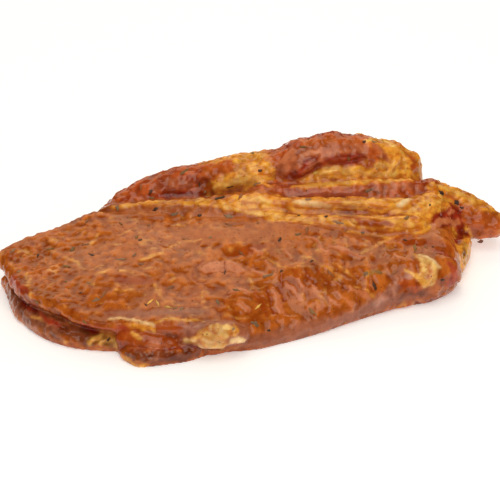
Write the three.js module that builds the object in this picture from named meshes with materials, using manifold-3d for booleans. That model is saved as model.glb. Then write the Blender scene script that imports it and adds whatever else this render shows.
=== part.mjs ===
// A raw marinated pork cordon bleu: one slice of pork neck, cut open as a pocket and laid shut.
// The upper leaf carries a seam of fat and a ridge of muscles along its back edge. The lower leaf
// shows under it at the left, with a loose flap at its foot. Dried herbs stick to the top.
// Millimetres, +Z up, +Y towards the ridge, origin at the middle of the foot.
import * as THREE from "three";
import { mergeVertices } from "three/addons/utils/BufferGeometryUtils.js";
import Module from "manifold-3d";

const wasm = await Module();
wasm.setup();

// Leaves
const FACE_FRONT_HEIGHT = 12; // the face above the table at its front edge
const FACE_BACK_HEIGHT = 21; // and where it meets the seam of fat
const FACE_FRONT_Y = -50;
const FACE_BACK_Y = 22;
const FACE_LEFT_DROP = 3; // how much lower the face lies at its left end
const LEFT_DROP_X = { from: -45, to: -92 };
const SHOULDER_DROP = { left: 7, right: 3 }; // how much the face sinks towards the front, from left to right
const SHOULDER_X = { start: -24, left: 12, right: 50 };
const SHOULDER_WIDTH = 24;
const LOWER_LEAF_HEIGHT = 7;
const POCKET_GAP = 0.8; // how far the lip of the upper leaf lifts
const POCKET_DEPTH = 8;
const FLAP_HEIGHT = 5.5;
const POCKET_END = { from: -26, to: -14, lean: 0.3 }; // where the upper leaf comes down to the table
const FOOT_CUT = 3; // how far the solids run under the table before the foot is cut flat
const EDGE = { lip: 4, wallLeft: 6, wallRight: 9, lowerLeaf: 5, flap: 3 }; // how round the leaves' edges are
const BLEND = { flesh: 4, ridge: 2.2, cord: 1.2, knob: 0.8, lobe: 1, leaf: 0.5, crease: 2 }; // soft joins

// The slow rise and fall of the cut face, as waves
const SWELLS = [
  { height: 0.7, x: 11, y: 17, phase: 0 },
  { height: 0.5, x: -15, y: 7.5, phase: 1 },
  { height: 0.35, x: 6.1, y: 5.3, phase: 2 },
];

// Dried herbs
const HERB_COUNT = 40;
const HERB_LONGEST = 5.2;
const HERB_SHORTEST = 2.6;
const HERB_WIDTH = 1.1;
const HERB_THICKNESS = 0.9;
const HERB_LIFT = 0.15; // how far the middle of a herb lies above the meat
const HERB_EDGE = 3; // how far herbs keep from the face's outline
const HERB_SEED = 11;

// Spacing of the grid that the skin is drawn on, finer at the pocket and along the seam
const SPACING = {
  x: () => 3.4,
  y: (y) => (y < -42 || (y > 8 && y < 40) ? 2.4 : 3.6),
  z: (z) => (z < 12 ? 1.6 : 2.4),
};
const GRID_LOW = { x: -102, y: -68, z: -7 };
const GRID_HIGH = { x: 106, y: 63, z: 48 };

// Outlines seen from above, anticlockwise from the left tip
const UPPER_LEAF = [
  [-94, 0], [-91.5, -7], [-88, -15], [-83.5, -25], [-77, -31.5], [-67, -38.5], [-61.5, -43.5],
  [-54, -47.5], [-44, -49], [-34, -50.5], [-24, -51], [-11, -50], [2, -47.5], [14, -42], [27, -35.5],
  [41, -27.2], [55, -19.2], [68, -12], [75.5, -6], [78.5, 3], [78, 12], [78, 24], [76, 38], [66, 48],
  [48, 53], [28, 53], [8, 50], [-12, 47], [-32, 43], [-50, 35], [-60, 22], [-72, 15], [-84, 8.8],
];
const LOWER_LEAF = [
  [-92.5, -1], [-91.3, -5], [-89.7, -12], [-87.2, -20], [-83.5, -27.5], [-79.5, -33.5], [-73, -40.5],
  [-67, -44.5], [-61, -47], [-52, -48.5], [-42, -48.5], [-30, -48.5], [-16, -44], [0, -36], [30, -20],
  [45, 10], [20, 32], [-20, 30], [-50, 20], [-74, 9],
];
const FLAP = [
  [-47, -42], [-45.5, -52], [-43, -56], [-39, -59], [-34, -58.5], [-28, -57], [-20, -54.5], [-15.5, -50],
  [-14, -42], [-28, -34],
];

// Muscles and cords of fat: a spine of [x, y, z, radius], from left to right
const LEFT_MUSCLE = [
  [-56, 31, 12, 4], [-48.5, 35, 16, 5.8], [-39, 37, 19.3, 7.3], [-26.5, 39, 21.5, 8.6], [-15, 39.5, 23, 8.4],
];
const MIDDLE_FAT = [[-15, 40, 23, 8.2], [-4.5, 40, 26, 8.6], [6, 41.5, 27, 8.4]];
const GREAT_MUSCLE = [
  [10, 42, 26.5, 8.6], [19.5, 42.5, 29.5, 10.2], [32, 44, 31.5, 10.8], [43, 45.5, 30.5, 9.8],
];
const RIGHT_END = [[44, 46.5, 29.5, 9.2], [53.5, 49, 27.5, 8.8], [60, 49.5, 25.5, 7.4]];
const UNDER_FAT = [
  [13.5, 37, 22, 5.6], [24, 36.5, 23, 6.4], [37, 38.5, 23.5, 6.8], [53, 43, 22.5, 6.6], [62, 46, 20.5, 5.6],
];
const LEFT_SEAM = [
  [-55, 26, 14.5, 4.6], [-46, 25, 17, 4.6], [-34.5, 23.5, 18.5, 4.8], [-19, 23.5, 19.3, 5.2],
  [-4, 24, 20.2, 5.8], [5, 25, 20.8, 6],
];
const SEAM_CREST = [
  [4.5, 30.5, 22, 5], [23, 31, 22.6, 4.8], [40.5, 32.5, 22.8, 4.8], [58, 36, 21.5, 5], [69, 38, 20, 5],
];
const UPPER_CORD = [
  [8, 23.5, 21, 4], [19, 21.5, 21.5, 4], [34, 21, 21.7, 4.2], [50, 21, 21.2, 4.4], [62, 23, 20, 4.8],
  [70, 29, 18.5, 5],
];
const LOWER_CORD = [
  [9, 15.5, 18.6, 3], [28, 14, 19, 3.2], [38, 12.8, 18.4, 3.8], [51, 11, 17.8, 4.6], [62, 13.5, 17, 5],
];
const RIGHT_FAT = [[57.5, 20, 17.5, 5.6], [67, 24, 17, 6.2], [72, 32, 16.5, 6]];
const TIP_CREST = [[72.5, 39.5, 17.5, 5.8], [81, 39, 15.4, 5.3], [89, 36, 12.4, 4.8], [94, 33.5, 10, 4]];
const TIP = [[80, 33.5, 9.5, 6.4], [88.5, 32, 9, 5.6], [93.8, 31.8, 8.6, 4.4], [95.4, 31.4, 7.4, 3]];
const FAT_UNDER_TIP = [[76, 6, 5, 5], [78, 17, 5, 6.2], [79.5, 26, 6, 6.2]];
const FRONT_LOBE = [[54, -9, 7.5, 8.5], [64, -8, 7.5, 8.8], [70.5, -4, 7.6, 8]];
const FAT_KNOB = [
  [-23.5, -50.2, 6.8, 2.4], [-19, -50.2, 7.6, 4], [-13.5, -50.6, 8.4, 4.8], [-7.5, -49, 8.2, 4.4],
  [-3.5, -47.8, 7.2, 3.4],
];
const LOWER_LOBE = [
  [-44, -48.8, 5.4, 3.4], [-37, -51, 5.6, 4], [-31, -51.8, 5.2, 3.4], [-27.5, -51.8, 4.8, 2.6],
];
const SMALL_TAB = [[-13.5, -49, 1.5, 2.6], [-9.5, -47.5, 2, 2.6]];

// Creases cut into the meat, as spines too
const CREASES = [
  // under the left muscle
  [[-55, 29.5, 20, 1.2], [-48, 27.5, 22, 1.6], [-40, 27.5, 23.5, 1.8], [-32, 28, 24.8, 1.8],
    [-23, 30.2, 25.2, 1.8], [-17, 32.5, 27, 1.6]],
  // under the great muscle
  [[10, 33.5, 30, 1.2], [14, 31, 27.8, 1.3], [19, 31, 28.2, 1.3], [23, 32.7, 30.3, 1.4], [27, 33.5, 33, 1.5],
    [37, 34, 34, 1.6], [44, 36.5, 34.5, 1.3]],
  // between the two cords
  [[6, 18.5, 24, 1.4], [19, 17, 23.6, 1.6], [36, 17, 23.4, 1.6], [50, 15.8, 23.2, 1.6], [62, 18, 23, 1.4]],
  // along the back edge of the face
  [[-57, 21, 20, 1.3], [-45, 20.5, 22, 1.4], [-19, 17, 22.3, 1.2], [5, 13.8, 22.6, 1.2], [28, 10.7, 22, 1.4]],
  [[28, 10.7, 22, 1.4], [38, 8.8, 21.2, 1.6], [50, 5, 20, 1.7], [59, 5.5, 20, 1.7], [68, 8, 19.8, 1.7]],
  // behind the front lobe
  [[59, 1, 20, 1.2], [67, -2.5, 19.4, 1.8], [72, -3.2, 17.6, 2], [77, -2, 14, 2], [81, 0, 9, 2]],
  // between the two leaves, deepest at the open end of the pocket
  [[-93, -3, 7.4, 1], [-89, -16, 7.2, 1], [-82, -29, 7.2, 1], [-70, -40.5, 7, 1.2], [-60, -45, 6.8, 1.7],
    [-50, -48, 6.8, 1.3]],
  // under the tip
  [[78.5, 18.5, 12, 2], [82, 22.5, 11, 2.5], [87, 25, 8.5, 2.8]],
  // the fold on top of the tip
  [[73, 31, 22.6, 1.4], [78, 32, 20, 1.8], [82, 31, 17.4, 1.7], [85, 30.2, 16, 1.4]],
];

const clamp = (v, low, high) => Math.min(high, Math.max(low, v));
const mix = (a, b, t) => a + (b - a) * t;
const ease = (low, high, v) => {
  const t = clamp((v - low) / (high - low), 0, 1);
  return t * t * (3 - 2 * t);
};
const blend = (a, b, k) => {
  const h = Math.max(k - Math.abs(a - b), 0) / k;
  return Math.min(a, b) - (h * h * k) / 4;
};
const carve = (a, b, k) => -blend(-a, b, k);

// A smooth closed outline, as a function that gives a plan point's distance to it, negative inside.
function planDistance(corners) {
  const curve = new THREE.CatmullRomCurve3(corners.map(([x, y]) => new THREE.Vector3(x, y, 0)), true);
  const ring = curve.getPoints(corners.length * 4).slice(0, -1);
  return (x, y) => {
    let nearest = Infinity;
    let inside = false;
    for (let i = 0, j = ring.length - 1; i < ring.length; j = i++) {
      const a = ring[j];
      const b = ring[i];
      const dx = b.x - a.x;
      const dy = b.y - a.y;
      const t = clamp(((x - a.x) * dx + (y - a.y) * dy) / (dx * dx + dy * dy), 0, 1);
      nearest = Math.min(nearest, Math.hypot(x - a.x - t * dx, y - a.y - t * dy));
      if (a.y > y !== b.y > y && x < a.x + ((y - a.y) * dx) / dy) inside = !inside;
    }
    return inside ? -nearest : nearest;
  };
}

// The distance to a chain of round cones along a spine of [x, y, z, radius].
function cordDistance(spine) {
  return (x, y, z) => {
    let nearest = Infinity;
    for (let i = 1; i < spine.length; i++) {
      const [ax, ay, az, ar] = spine[i - 1];
      const [bx, by, bz, br] = spine[i];
      const [dx, dy, dz] = [bx - ax, by - ay, bz - az];
      const along = (x - ax) * dx + (y - ay) * dy + (z - az) * dz;
      const t = clamp(along / (dx * dx + dy * dy + dz * dz), 0, 1);
      const reach = Math.hypot(x - ax - t * dx, y - ay - t * dy, z - az - t * dz);
      nearest = Math.min(nearest, reach - mix(ar, br, t));
    }
    return nearest;
  };
}

// A slab with rounded edges, between a low and a high surface.
function slabDistance(plan, z, low, high, edge) {
  const half = (high - low) / 2;
  const round = Math.min(edge, half);
  const out = plan + round;
  const over = Math.abs(z - (low + high) / 2) - half + round;
  return Math.hypot(Math.max(out, 0), Math.max(over, 0)) + Math.min(Math.max(out, over), 0) - round;
}

const upperPlan = planDistance(UPPER_LEAF);
const lowerPlan = planDistance(LOWER_LEAF);
const flapPlan = planDistance(FLAP);
const flesh = [LEFT_SEAM, SEAM_CREST, RIGHT_FAT, FRONT_LOBE, TIP, TIP_CREST].map(cordDistance);
const cords = [UPPER_CORD, LOWER_CORD, UNDER_FAT, FAT_UNDER_TIP].map(cordDistance);
const ridge = [LEFT_MUSCLE, MIDDLE_FAT, GREAT_MUSCLE, RIGHT_END].map(cordDistance);
const fatKnob = cordDistance(FAT_KNOB);
const lowerLobe = cordDistance(LOWER_LOBE);
const smallTab = cordDistance(SMALL_TAB);
const creases = CREASES.map(cordDistance);

const swell = (x, y) =>
  SWELLS.reduce((sum, wave) => sum + wave.height * Math.sin(x / wave.x + y / wave.y + wave.phase), 0);

// The meat as a field, negative inside: a function of z for the column that stands at x, y.
function meatColumn(x, y) {
  const upper = upperPlan(x, y);
  const lower = lowerPlan(x, y);
  const flap = flapPlan(x, y);
  const rise = clamp((y - FACE_FRONT_Y) / (FACE_BACK_Y - FACE_FRONT_Y), 0, 1);
  const drop = FACE_LEFT_DROP * rise * ease(LEFT_DROP_X.from, LEFT_DROP_X.to, x);
  // At the left the upper leaf lies on the lower one, and from the fat knob on it stands on the table.
  const past = x + POCKET_END.lean * (y - FACE_FRONT_Y);
  const split = 1 - ease(POCKET_END.from, POCKET_END.to, past);
  const right = ease(SHOULDER_X.left, SHOULDER_X.right, x);
  const sunk = mix(SHOULDER_DROP.left, SHOULDER_DROP.right, right);
  const sink = sunk * ease(SHOULDER_X.start, SHOULDER_X.left, x);
  const shoulder = sink * (1 - ease(0, SHOULDER_WIDTH, -upper));
  const top = mix(FACE_FRONT_HEIGHT, FACE_BACK_HEIGHT, rise) - drop - shoulder + swell(x, y);
  const mouth = split * ease(-POCKET_DEPTH, 0, upper);
  const underside = mix(-FOOT_CUT, LOWER_LEAF_HEIGHT - 1, split) + POCKET_GAP * mouth;
  const lowerTop = LOWER_LEAF_HEIGHT + 0.5 * swell(y, x);
  const wall = mix(EDGE.wallLeft, EDGE.wallRight, right);
  const edge = mix(wall, EDGE.lip, split);
  return (z) => {
    let d = slabDistance(upper, z, underside, top, edge);
    for (const muscle of flesh) d = blend(d, muscle(x, y, z), BLEND.flesh);
    for (const cord of cords) d = blend(d, cord(x, y, z), BLEND.cord);
    for (const muscle of ridge) d = blend(d, muscle(x, y, z), BLEND.ridge);
    d = blend(d, fatKnob(x, y, z), BLEND.knob);
    d = blend(d, slabDistance(lower, z, -FOOT_CUT, lowerTop, EDGE.lowerLeaf), BLEND.leaf);
    d = blend(d, lowerLobe(x, y, z), BLEND.lobe);
    d = blend(d, slabDistance(flap, z, -FOOT_CUT, FLAP_HEIGHT, EDGE.flap), BLEND.leaf);
    d = Math.min(d, smallTab(x, y, z));
    for (const crease of creases) d = carve(d, crease(x, y, z), BLEND.crease);
    return d;
  };
}

// The field's slope at a point.
function slope(x, y, z) {
  const h = 0.2;
  const rise = (dx, dy, dz) => meatColumn(x + dx, y + dy)(z + dz) - meatColumn(x - dx, y - dy)(z - dz);
  return new THREE.Vector3(rise(h, 0, 0), rise(0, h, 0), rise(0, 0, h)).divideScalar(2 * h);
}

// The positions of the grid's lines along one axis.
function gridLines(low, high, spacing) {
  const lines = [low];
  while (lines.at(-1) < high) lines.push(lines.at(-1) + spacing(lines.at(-1)));
  return lines;
}

// Moves a point of one grid cell onto the surface, without leaving the cell.
function settle(point, cell) {
  for (let pass = 0; pass < 3; pass++) {
    const value = meatColumn(point.x, point.y)(point.z);
    const normal = slope(point.x, point.y, point.z);
    point.addScaledVector(normal, -value / Math.max(normal.lengthSq(), 0.2)).clamp(cell.min, cell.max);
  }
  return point;
}

// Marks the grid points that can be reached from the start without crossing the skin.
function reached(field, start, step) {
  const seen = new Uint8Array(field.length);
  const queue = [start];
  seen[start] = 1;
  while (queue.length) {
    const here = queue.pop();
    for (const next of step.flatMap((s) => [here - s, here + s])) {
      if (next < 0 || next >= field.length || seen[next]) continue;
      if (field[next] < 0 !== field[here] < 0) continue;
      seen[next] = 1;
      queue.push(next);
    }
  }
  return seen;
}

// Fills a corner wherever two parts of the meat would meet along a single edge of the skin.
function closePinches(field, [x, y, z]) {
  const filled = -0.3;
  let pinches = 1;
  while (pinches) {
    pinches = 0;
    for (let i = 0; i < field.length - y - z; i++)
      for (const [u, v] of [[x, y], [y, z], [z, x]]) {
        const here = field[i] < 0;
        const next = field[i + u] < 0;
        if (here === next || here !== field[i + u + v] < 0 || next !== field[i + v] < 0) continue;
        field[here ? i + u : i] = filled;
        pinches++;
      }
  }
}

// Fills each hollow that the outside can't reach.
function fillHollows(field, step) {
  const outside = reached(field, 0, step);
  for (let i = 0; i < field.length; i++) if (field[i] >= 0 && !outside[i]) field[i] = -1;
}

// Draws the skin of the meat: one vertex in each cell of the grid that the skin crosses.
function skin() {
  const lines = ["x", "y", "z"].map((axis) => gridLines(GRID_LOW[axis], GRID_HIGH[axis], SPACING[axis]));
  const [nx, ny, nz] = lines.map((line) => line.length);
  const at = (i, j, k) => (k * ny + j) * nx + i;
  const place = (i, j, k) => new THREE.Vector3(lines[0][i], lines[1][j], lines[2][k]);
  const field = new Float64Array(nx * ny * nz);
  for (let i = 0; i < nx; i++)
    for (let j = 0; j < ny; j++) {
      const column = meatColumn(lines[0][i], lines[1][j]);
      for (let k = 0; k < nz; k++) field[at(i, j, k)] = column(lines[2][k]);
    }
  const step = [1, nx, nx * ny];
  closePinches(field, step);
  fillHollows(field, step);
  const corners = [0, 1, 2, 3, 4, 5, 6, 7].map((c) => [c & 1, (c >> 1) & 1, c >> 2]);
  const edges = [];
  for (let a = 0; a < 8; a++) for (const bit of [1, 2, 4]) if (!(a & bit)) edges.push([a, a | bit]);
  const points = [];
  const vertexOf = new Map();
  for (let k = 0; k < nz - 1; k++)
    for (let j = 0; j < ny - 1; j++)
      for (let i = 0; i < nx - 1; i++) {
        const value = corners.map(([a, b, c]) => field[at(i + a, j + b, k + c)]);
        const crossed = edges.filter(([a, b]) => value[a] < 0 !== value[b] < 0);
        if (!crossed.length) continue;
        const cell = new THREE.Box3(place(i, j, k), place(i + 1, j + 1, k + 1));
        const mean = new THREE.Vector3();
        for (const [a, b] of crossed) {
          const t = value[a] / (value[a] - value[b]);
          mean.add(new THREE.Vector3(...corners[a]).lerp(new THREE.Vector3(...corners[b]), t));
        }
        mean.divideScalar(crossed.length).multiply(cell.getSize(new THREE.Vector3())).add(cell.min);
        vertexOf.set(at(i, j, k), points.length);
        points.push(settle(mean, cell).toArray());
      }
  const faces = [];
  for (let k = 1; k < nz - 1; k++)
    for (let j = 1; j < ny - 1; j++)
      for (let i = 1; i < nx - 1; i++) {
        const here = at(i, j, k);
        for (let axis = 0; axis < 3; axis++) {
          const inside = field[here] < 0;
          if (inside === field[here + step[axis]] < 0) continue;
          const u = step[(axis + 1) % 3];
          const v = step[(axis + 2) % 3];
          const quad = [here, here - u, here - u - v, here - v].map((cell) => vertexOf.get(cell));
          if (inside) quad.reverse();
          const [a, b, c, d] = quad;
          faces.push(a, c, b, a, d, c);
        }
      }
  const geometry = new THREE.BufferGeometry();
  geometry.setAttribute("position", new THREE.Float32BufferAttribute(points.flat(), 3));
  geometry.setIndex(faces);
  return geometry;
}

// A repeatable row of numbers between 0 and 1.
function numbers(seed) {
  let state = seed;
  return () => {
    state = (state * 1664525 + 1013904223) % 4294967296;
    return state / 4294967296;
  };
}

// The height of the meat's top over a plan point.
function topHeight(x, y) {
  const column = meatColumn(x, y);
  let z = GRID_HIGH.z;
  while (z > 0 && column(z) > 0.02) z -= Math.max(column(z) * 0.6, 0.02);
  return z;
}

// Spreads the herbs evenly over the top, the longest first.
function herbSpots() {
  const draw = numbers(HERB_SEED);
  const spots = [];
  while (spots.length < HERB_COUNT) {
    let best = null;
    for (let tries = 0; tries < 12; tries++) {
      const x = mix(GRID_LOW.x, GRID_HIGH.x, draw());
      const y = mix(GRID_LOW.y, GRID_HIGH.y, draw());
      if (upperPlan(x, y) > -HERB_EDGE) continue;
      const room = Math.min(1000, ...spots.map((spot) => Math.hypot(spot.x - x, spot.y - y)));
      if (!best || room > best.room) best = { x, y, room };
    }
    if (best) spots.push({ ...best, turn: draw() * Math.PI });
  }
  return spots;
}

// One herb: a short spindle that lies along the surface.
function herb({ x, y, turn }, length) {
  const z = topHeight(x, y);
  const normal = slope(x, y, z).normalize();
  const along = new THREE.Vector3(Math.cos(turn), Math.sin(turn), 0).projectOnPlane(normal).normalize();
  const across = new THREE.Vector3().crossVectors(along, normal);
  const frame = new THREE.Matrix4().makeBasis(across, along, normal);
  frame.setPosition(new THREE.Vector3(x, y, z).addScaledVector(normal, HERB_LIFT));
  return new THREE.SphereGeometry(0.5, 6, 3).scale(HERB_WIDTH, length, HERB_THICKNESS).applyMatrix4(frame);
}

function solidOf(geometry) {
  const bare = geometry.clone();
  for (const extra of ["normal", "uv"]) bare.deleteAttribute(extra);
  const merged = mergeVertices(bare, 1e-4);
  return new wasm.Manifold(
    new wasm.Mesh({
      numProp: 3,
      vertProperties: merged.attributes.position.array,
      triVerts: new Uint32Array(merged.index.array),
    }),
  );
}

function geometryOf(solid) {
  const mesh = solid.getMesh();
  const geometry = new THREE.BufferGeometry();
  geometry.setAttribute("position", new THREE.BufferAttribute(new Float32Array(mesh.vertProperties), 3));
  geometry.setIndex(new THREE.BufferAttribute(new Uint32Array(mesh.triVerts), 1));
  return geometry;
}

// The whole slice: the meat with its herbs, cut flat at the foot and set over the origin.
function steakGeometry() {
  const herbs = herbSpots().map((spot, i) => {
    const length = mix(HERB_LONGEST, HERB_SHORTEST, i / (HERB_COUNT - 1));
    return solidOf(herb(spot, length));
  });
  const table = solidOf(new THREE.BoxGeometry(300, 300, 20).translate(0, 0, -10));
  const whole = wasm.Manifold.union([solidOf(skin()), ...herbs]).subtract(table);
  const geometry = geometryOf(whole);
  geometry.computeBoundingBox();
  const middle = geometry.boundingBox.getCenter(new THREE.Vector3());
  return geometry.translate(-middle.x, -middle.y, 0);
}

const steak = new THREE.Mesh(
  steakGeometry(),
  new THREE.MeshStandardMaterial({ color: 0xb5602c, roughness: 0.35, metalness: 0 }),
);
steak.name = "steak";
const cordonBleu = new THREE.Group();
cordonBleu.add(steak);
export default cordonBleu;
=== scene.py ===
"""Looks of a raw marinated pork cordon bleu, built around its CAD solid.

The parts are the meat, the herbs and spices on it, and the studio.
The meat is drawn again at a fine pitch on the solid's own form, then gets its muscles, fat and marinade, with
painted highlights, reflections and shade.
Sizes are metres in the scene and millimetres in the drawing numbers below.
"""

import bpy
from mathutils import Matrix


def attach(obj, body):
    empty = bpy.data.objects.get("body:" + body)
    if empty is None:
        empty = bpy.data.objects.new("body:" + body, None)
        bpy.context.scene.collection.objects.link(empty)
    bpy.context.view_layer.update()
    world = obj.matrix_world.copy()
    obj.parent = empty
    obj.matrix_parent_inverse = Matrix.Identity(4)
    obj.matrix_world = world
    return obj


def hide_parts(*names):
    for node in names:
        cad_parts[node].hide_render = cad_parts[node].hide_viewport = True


bl_info = {
    "name": "Marinated pork cordon bleu",
    "version": (1, 0, 0),
    "blender": (4, 5, 0),
    "location": "View3D > Sidebar > Cordon Bleu",
    "description": "Builds the finished look of a raw marinated pork cordon bleu around its CAD solid",
    "category": "Object",
}

import math

import bmesh
import bpy
import numpy as np
from bpy.props import FloatProperty, FloatVectorProperty, IntProperty, PointerProperty
from mathutils import Matrix, Vector
from mathutils.bvhtree import BVHTree

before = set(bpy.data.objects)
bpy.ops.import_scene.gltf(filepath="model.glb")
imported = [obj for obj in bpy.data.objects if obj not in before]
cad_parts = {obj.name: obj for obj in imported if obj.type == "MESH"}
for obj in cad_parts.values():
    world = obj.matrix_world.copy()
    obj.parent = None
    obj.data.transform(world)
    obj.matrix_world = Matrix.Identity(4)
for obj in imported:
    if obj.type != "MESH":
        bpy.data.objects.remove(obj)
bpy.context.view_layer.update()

MM = 0.001
SHIFT = np.array([-2.4591, 0.6476, 0.0])  # from the drawing's middle to the middle of the foot, mm

# The drawing view: the strokes and the noted herbs are placed on a picture seen from here
VIEW_ELEVATION = math.radians(28)
VIEW_DISTANCE = 700  # mm
VIEW_TARGET = np.array([0, 0, 15])  # mm
VIEW_WIDTH = 500  # pixels
VIEW_FOCUS = 1883  # pixels
PIXEL = VIEW_DISTANCE / VIEW_FOCUS  # the size of a pixel at the target, mm

# Leaves of the slice, mm
FACE_FRONT_HEIGHT, FACE_BACK_HEIGHT = 12, 21
FACE_FRONT_Y, FACE_BACK_Y = -50, 22
FACE_LEFT_DROP = 3
LEFT_DROP_FROM, LEFT_DROP_TO = -45, -92
SHOULDER_DROP_LEFT, SHOULDER_DROP_RIGHT = 7, 3
SHOULDER_START, SHOULDER_LEFT, SHOULDER_RIGHT = -24, 12, 50
SHOULDER_WIDTH = 24
LOWER_LEAF_HEIGHT = 7
POCKET_GAP, POCKET_DEPTH = 0.8, 8
POCKET_FROM, POCKET_TO, POCKET_LEAN = -26, -14, 0.3
FLAP_HEIGHT = 5.5
FOOT_CUT = 3
LIP_EDGE, WALL_EDGE_LEFT, WALL_EDGE_RIGHT, LOWER_EDGE, FLAP_EDGE = 4, 6, 9, 5, 3
FLESH_BLEND, RIDGE_BLEND, CORD_BLEND, KNOB_BLEND = 4, 2.2, 1.2, 0.8
LOBE_BLEND, LEAF_BLEND, CREASE_BLEND = 1, 0.5, 2
SWELLS = ((0.7, 11, 17, 0), (0.5, -15, 7.5, 1), (0.35, 6.1, 5.3, 2))  # height, x length, y length, phase

# Outlines seen from above, anticlockwise from the left tip, mm
UPPER_LEAF = (
    (-94, 0), (-91.5, -7), (-88, -15), (-83.5, -25), (-77, -31.5), (-67, -38.5), (-61.5, -43.5),
    (-54, -47.5), (-44, -49), (-34, -50.5), (-24, -51), (-11, -50), (2, -47.5), (14, -42), (27, -35.5),
    (41, -27.2), (55, -19.2), (68, -12), (75.5, -6), (78.5, 3), (78, 12), (78, 24), (76, 38), (66, 48),
    (48, 53), (28, 53), (8, 50), (-12, 47), (-32, 43), (-50, 35), (-60, 22), (-72, 15), (-84, 8.8),
)
LOWER_LEAF = (
    (-92.5, -1), (-91.3, -5), (-89.7, -12), (-87.2, -20), (-83.5, -27.5), (-79.5, -33.5), (-73, -40.5),
    (-67, -44.5), (-61, -47), (-52, -48.5), (-42, -48.5), (-30, -48.5), (-16, -44), (0, -36), (30, -20),
    (45, 10), (20, 32), (-20, 30), (-50, 20), (-74, 9),
)
FLAP = (
    (-47, -42), (-45.5, -52), (-43, -56), (-39, -59), (-34, -58.5), (-28, -57), (-20, -54.5), (-15.5, -50),
    (-14, -42), (-28, -34),
)
# Muscles and cords of fat: a spine of (x, y, z, radius), from left to right, mm
LEFT_MUSCLE = (
    (-56, 31, 12, 4), (-48.5, 35, 16, 5.8), (-39, 37, 19.3, 7.3), (-26.5, 39, 21.5, 8.6),
    (-15, 39.5, 23, 8.4),
)
MIDDLE_FAT = ((-15, 40, 23, 8.2), (-4.5, 40, 26, 8.6), (6, 41.5, 27, 8.4))
GREAT_MUSCLE = ((10, 42, 26.5, 8.6), (19.5, 42.5, 29.5, 10.2), (32, 44, 31.5, 10.8), (43, 45.5, 30.5, 9.8))
RIGHT_END = ((44, 46.5, 29.5, 9.2), (53.5, 49, 27.5, 8.8), (60, 49.5, 25.5, 7.4))
UNDER_FAT = (
    (13.5, 37, 22, 5.6), (24, 36.5, 23, 6.4), (37, 38.5, 23.5, 6.8), (53, 43, 22.5, 6.6),
    (62, 46, 20.5, 5.6),
)
LEFT_SEAM = (
    (-55, 26, 14.5, 4.6), (-46, 25, 17, 4.6), (-34.5, 23.5, 18.5, 4.8), (-19, 23.5, 19.3, 5.2),
    (-4, 24, 20.2, 5.8), (5, 25, 20.8, 6),
)
SEAM_CREST = (
    (4.5, 30.5, 22, 5), (23, 31, 22.6, 4.8), (40.5, 32.5, 22.8, 4.8), (58, 36, 21.5, 5), (69, 38, 20, 5),
)
UPPER_CORD = (
    (8, 23.5, 21, 4), (19, 21.5, 21.5, 4), (34, 21, 21.7, 4.2), (50, 21, 21.2, 4.4), (62, 23, 20, 4.8),
    (70, 29, 18.5, 5),
)
LOWER_CORD = (
    (9, 15.5, 18.6, 3), (28, 14, 19, 3.2), (38, 12.8, 18.4, 3.8), (51, 11, 17.8, 4.6), (62, 13.5, 17, 5),
)
RIGHT_FAT = ((57.5, 20, 17.5, 5.6), (67, 24, 17, 6.2), (72, 32, 16.5, 6))
TIP_CREST = ((72.5, 39.5, 17.5, 5.8), (81, 39, 15.4, 5.3), (89, 36, 12.4, 4.8), (94, 33.5, 10, 4))
TIP = ((80, 33.5, 9.5, 6.4), (88.5, 32, 9, 5.6), (93.8, 31.8, 8.6, 4.4), (95.4, 31.4, 7.4, 3))
FAT_UNDER_TIP = ((76, 6, 5, 5), (78, 17, 5, 6.2), (79.5, 26, 6, 6.2))
FRONT_LOBE = ((54, -9, 7.5, 8.5), (64, -8, 7.5, 8.8), (70.5, -4, 7.6, 8))
FAT_KNOB = (
    (-23.5, -50.2, 6.8, 2.4), (-19, -50.2, 7.6, 4), (-13.5, -50.6, 8.4, 4.8), (-7.5, -49, 8.2, 4.4),
    (-3.5, -47.8, 7.2, 3.4),
)
LOWER_LOBE = ((-44, -48.8, 5.4, 3.4), (-37, -51, 5.6, 4), (-31, -51.8, 5.2, 3.4), (-27.5, -51.8, 4.8, 2.6))
SMALL_TAB = ((-13.5, -49, 1.5, 2.6), (-9.5, -47.5, 2, 2.6))
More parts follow.
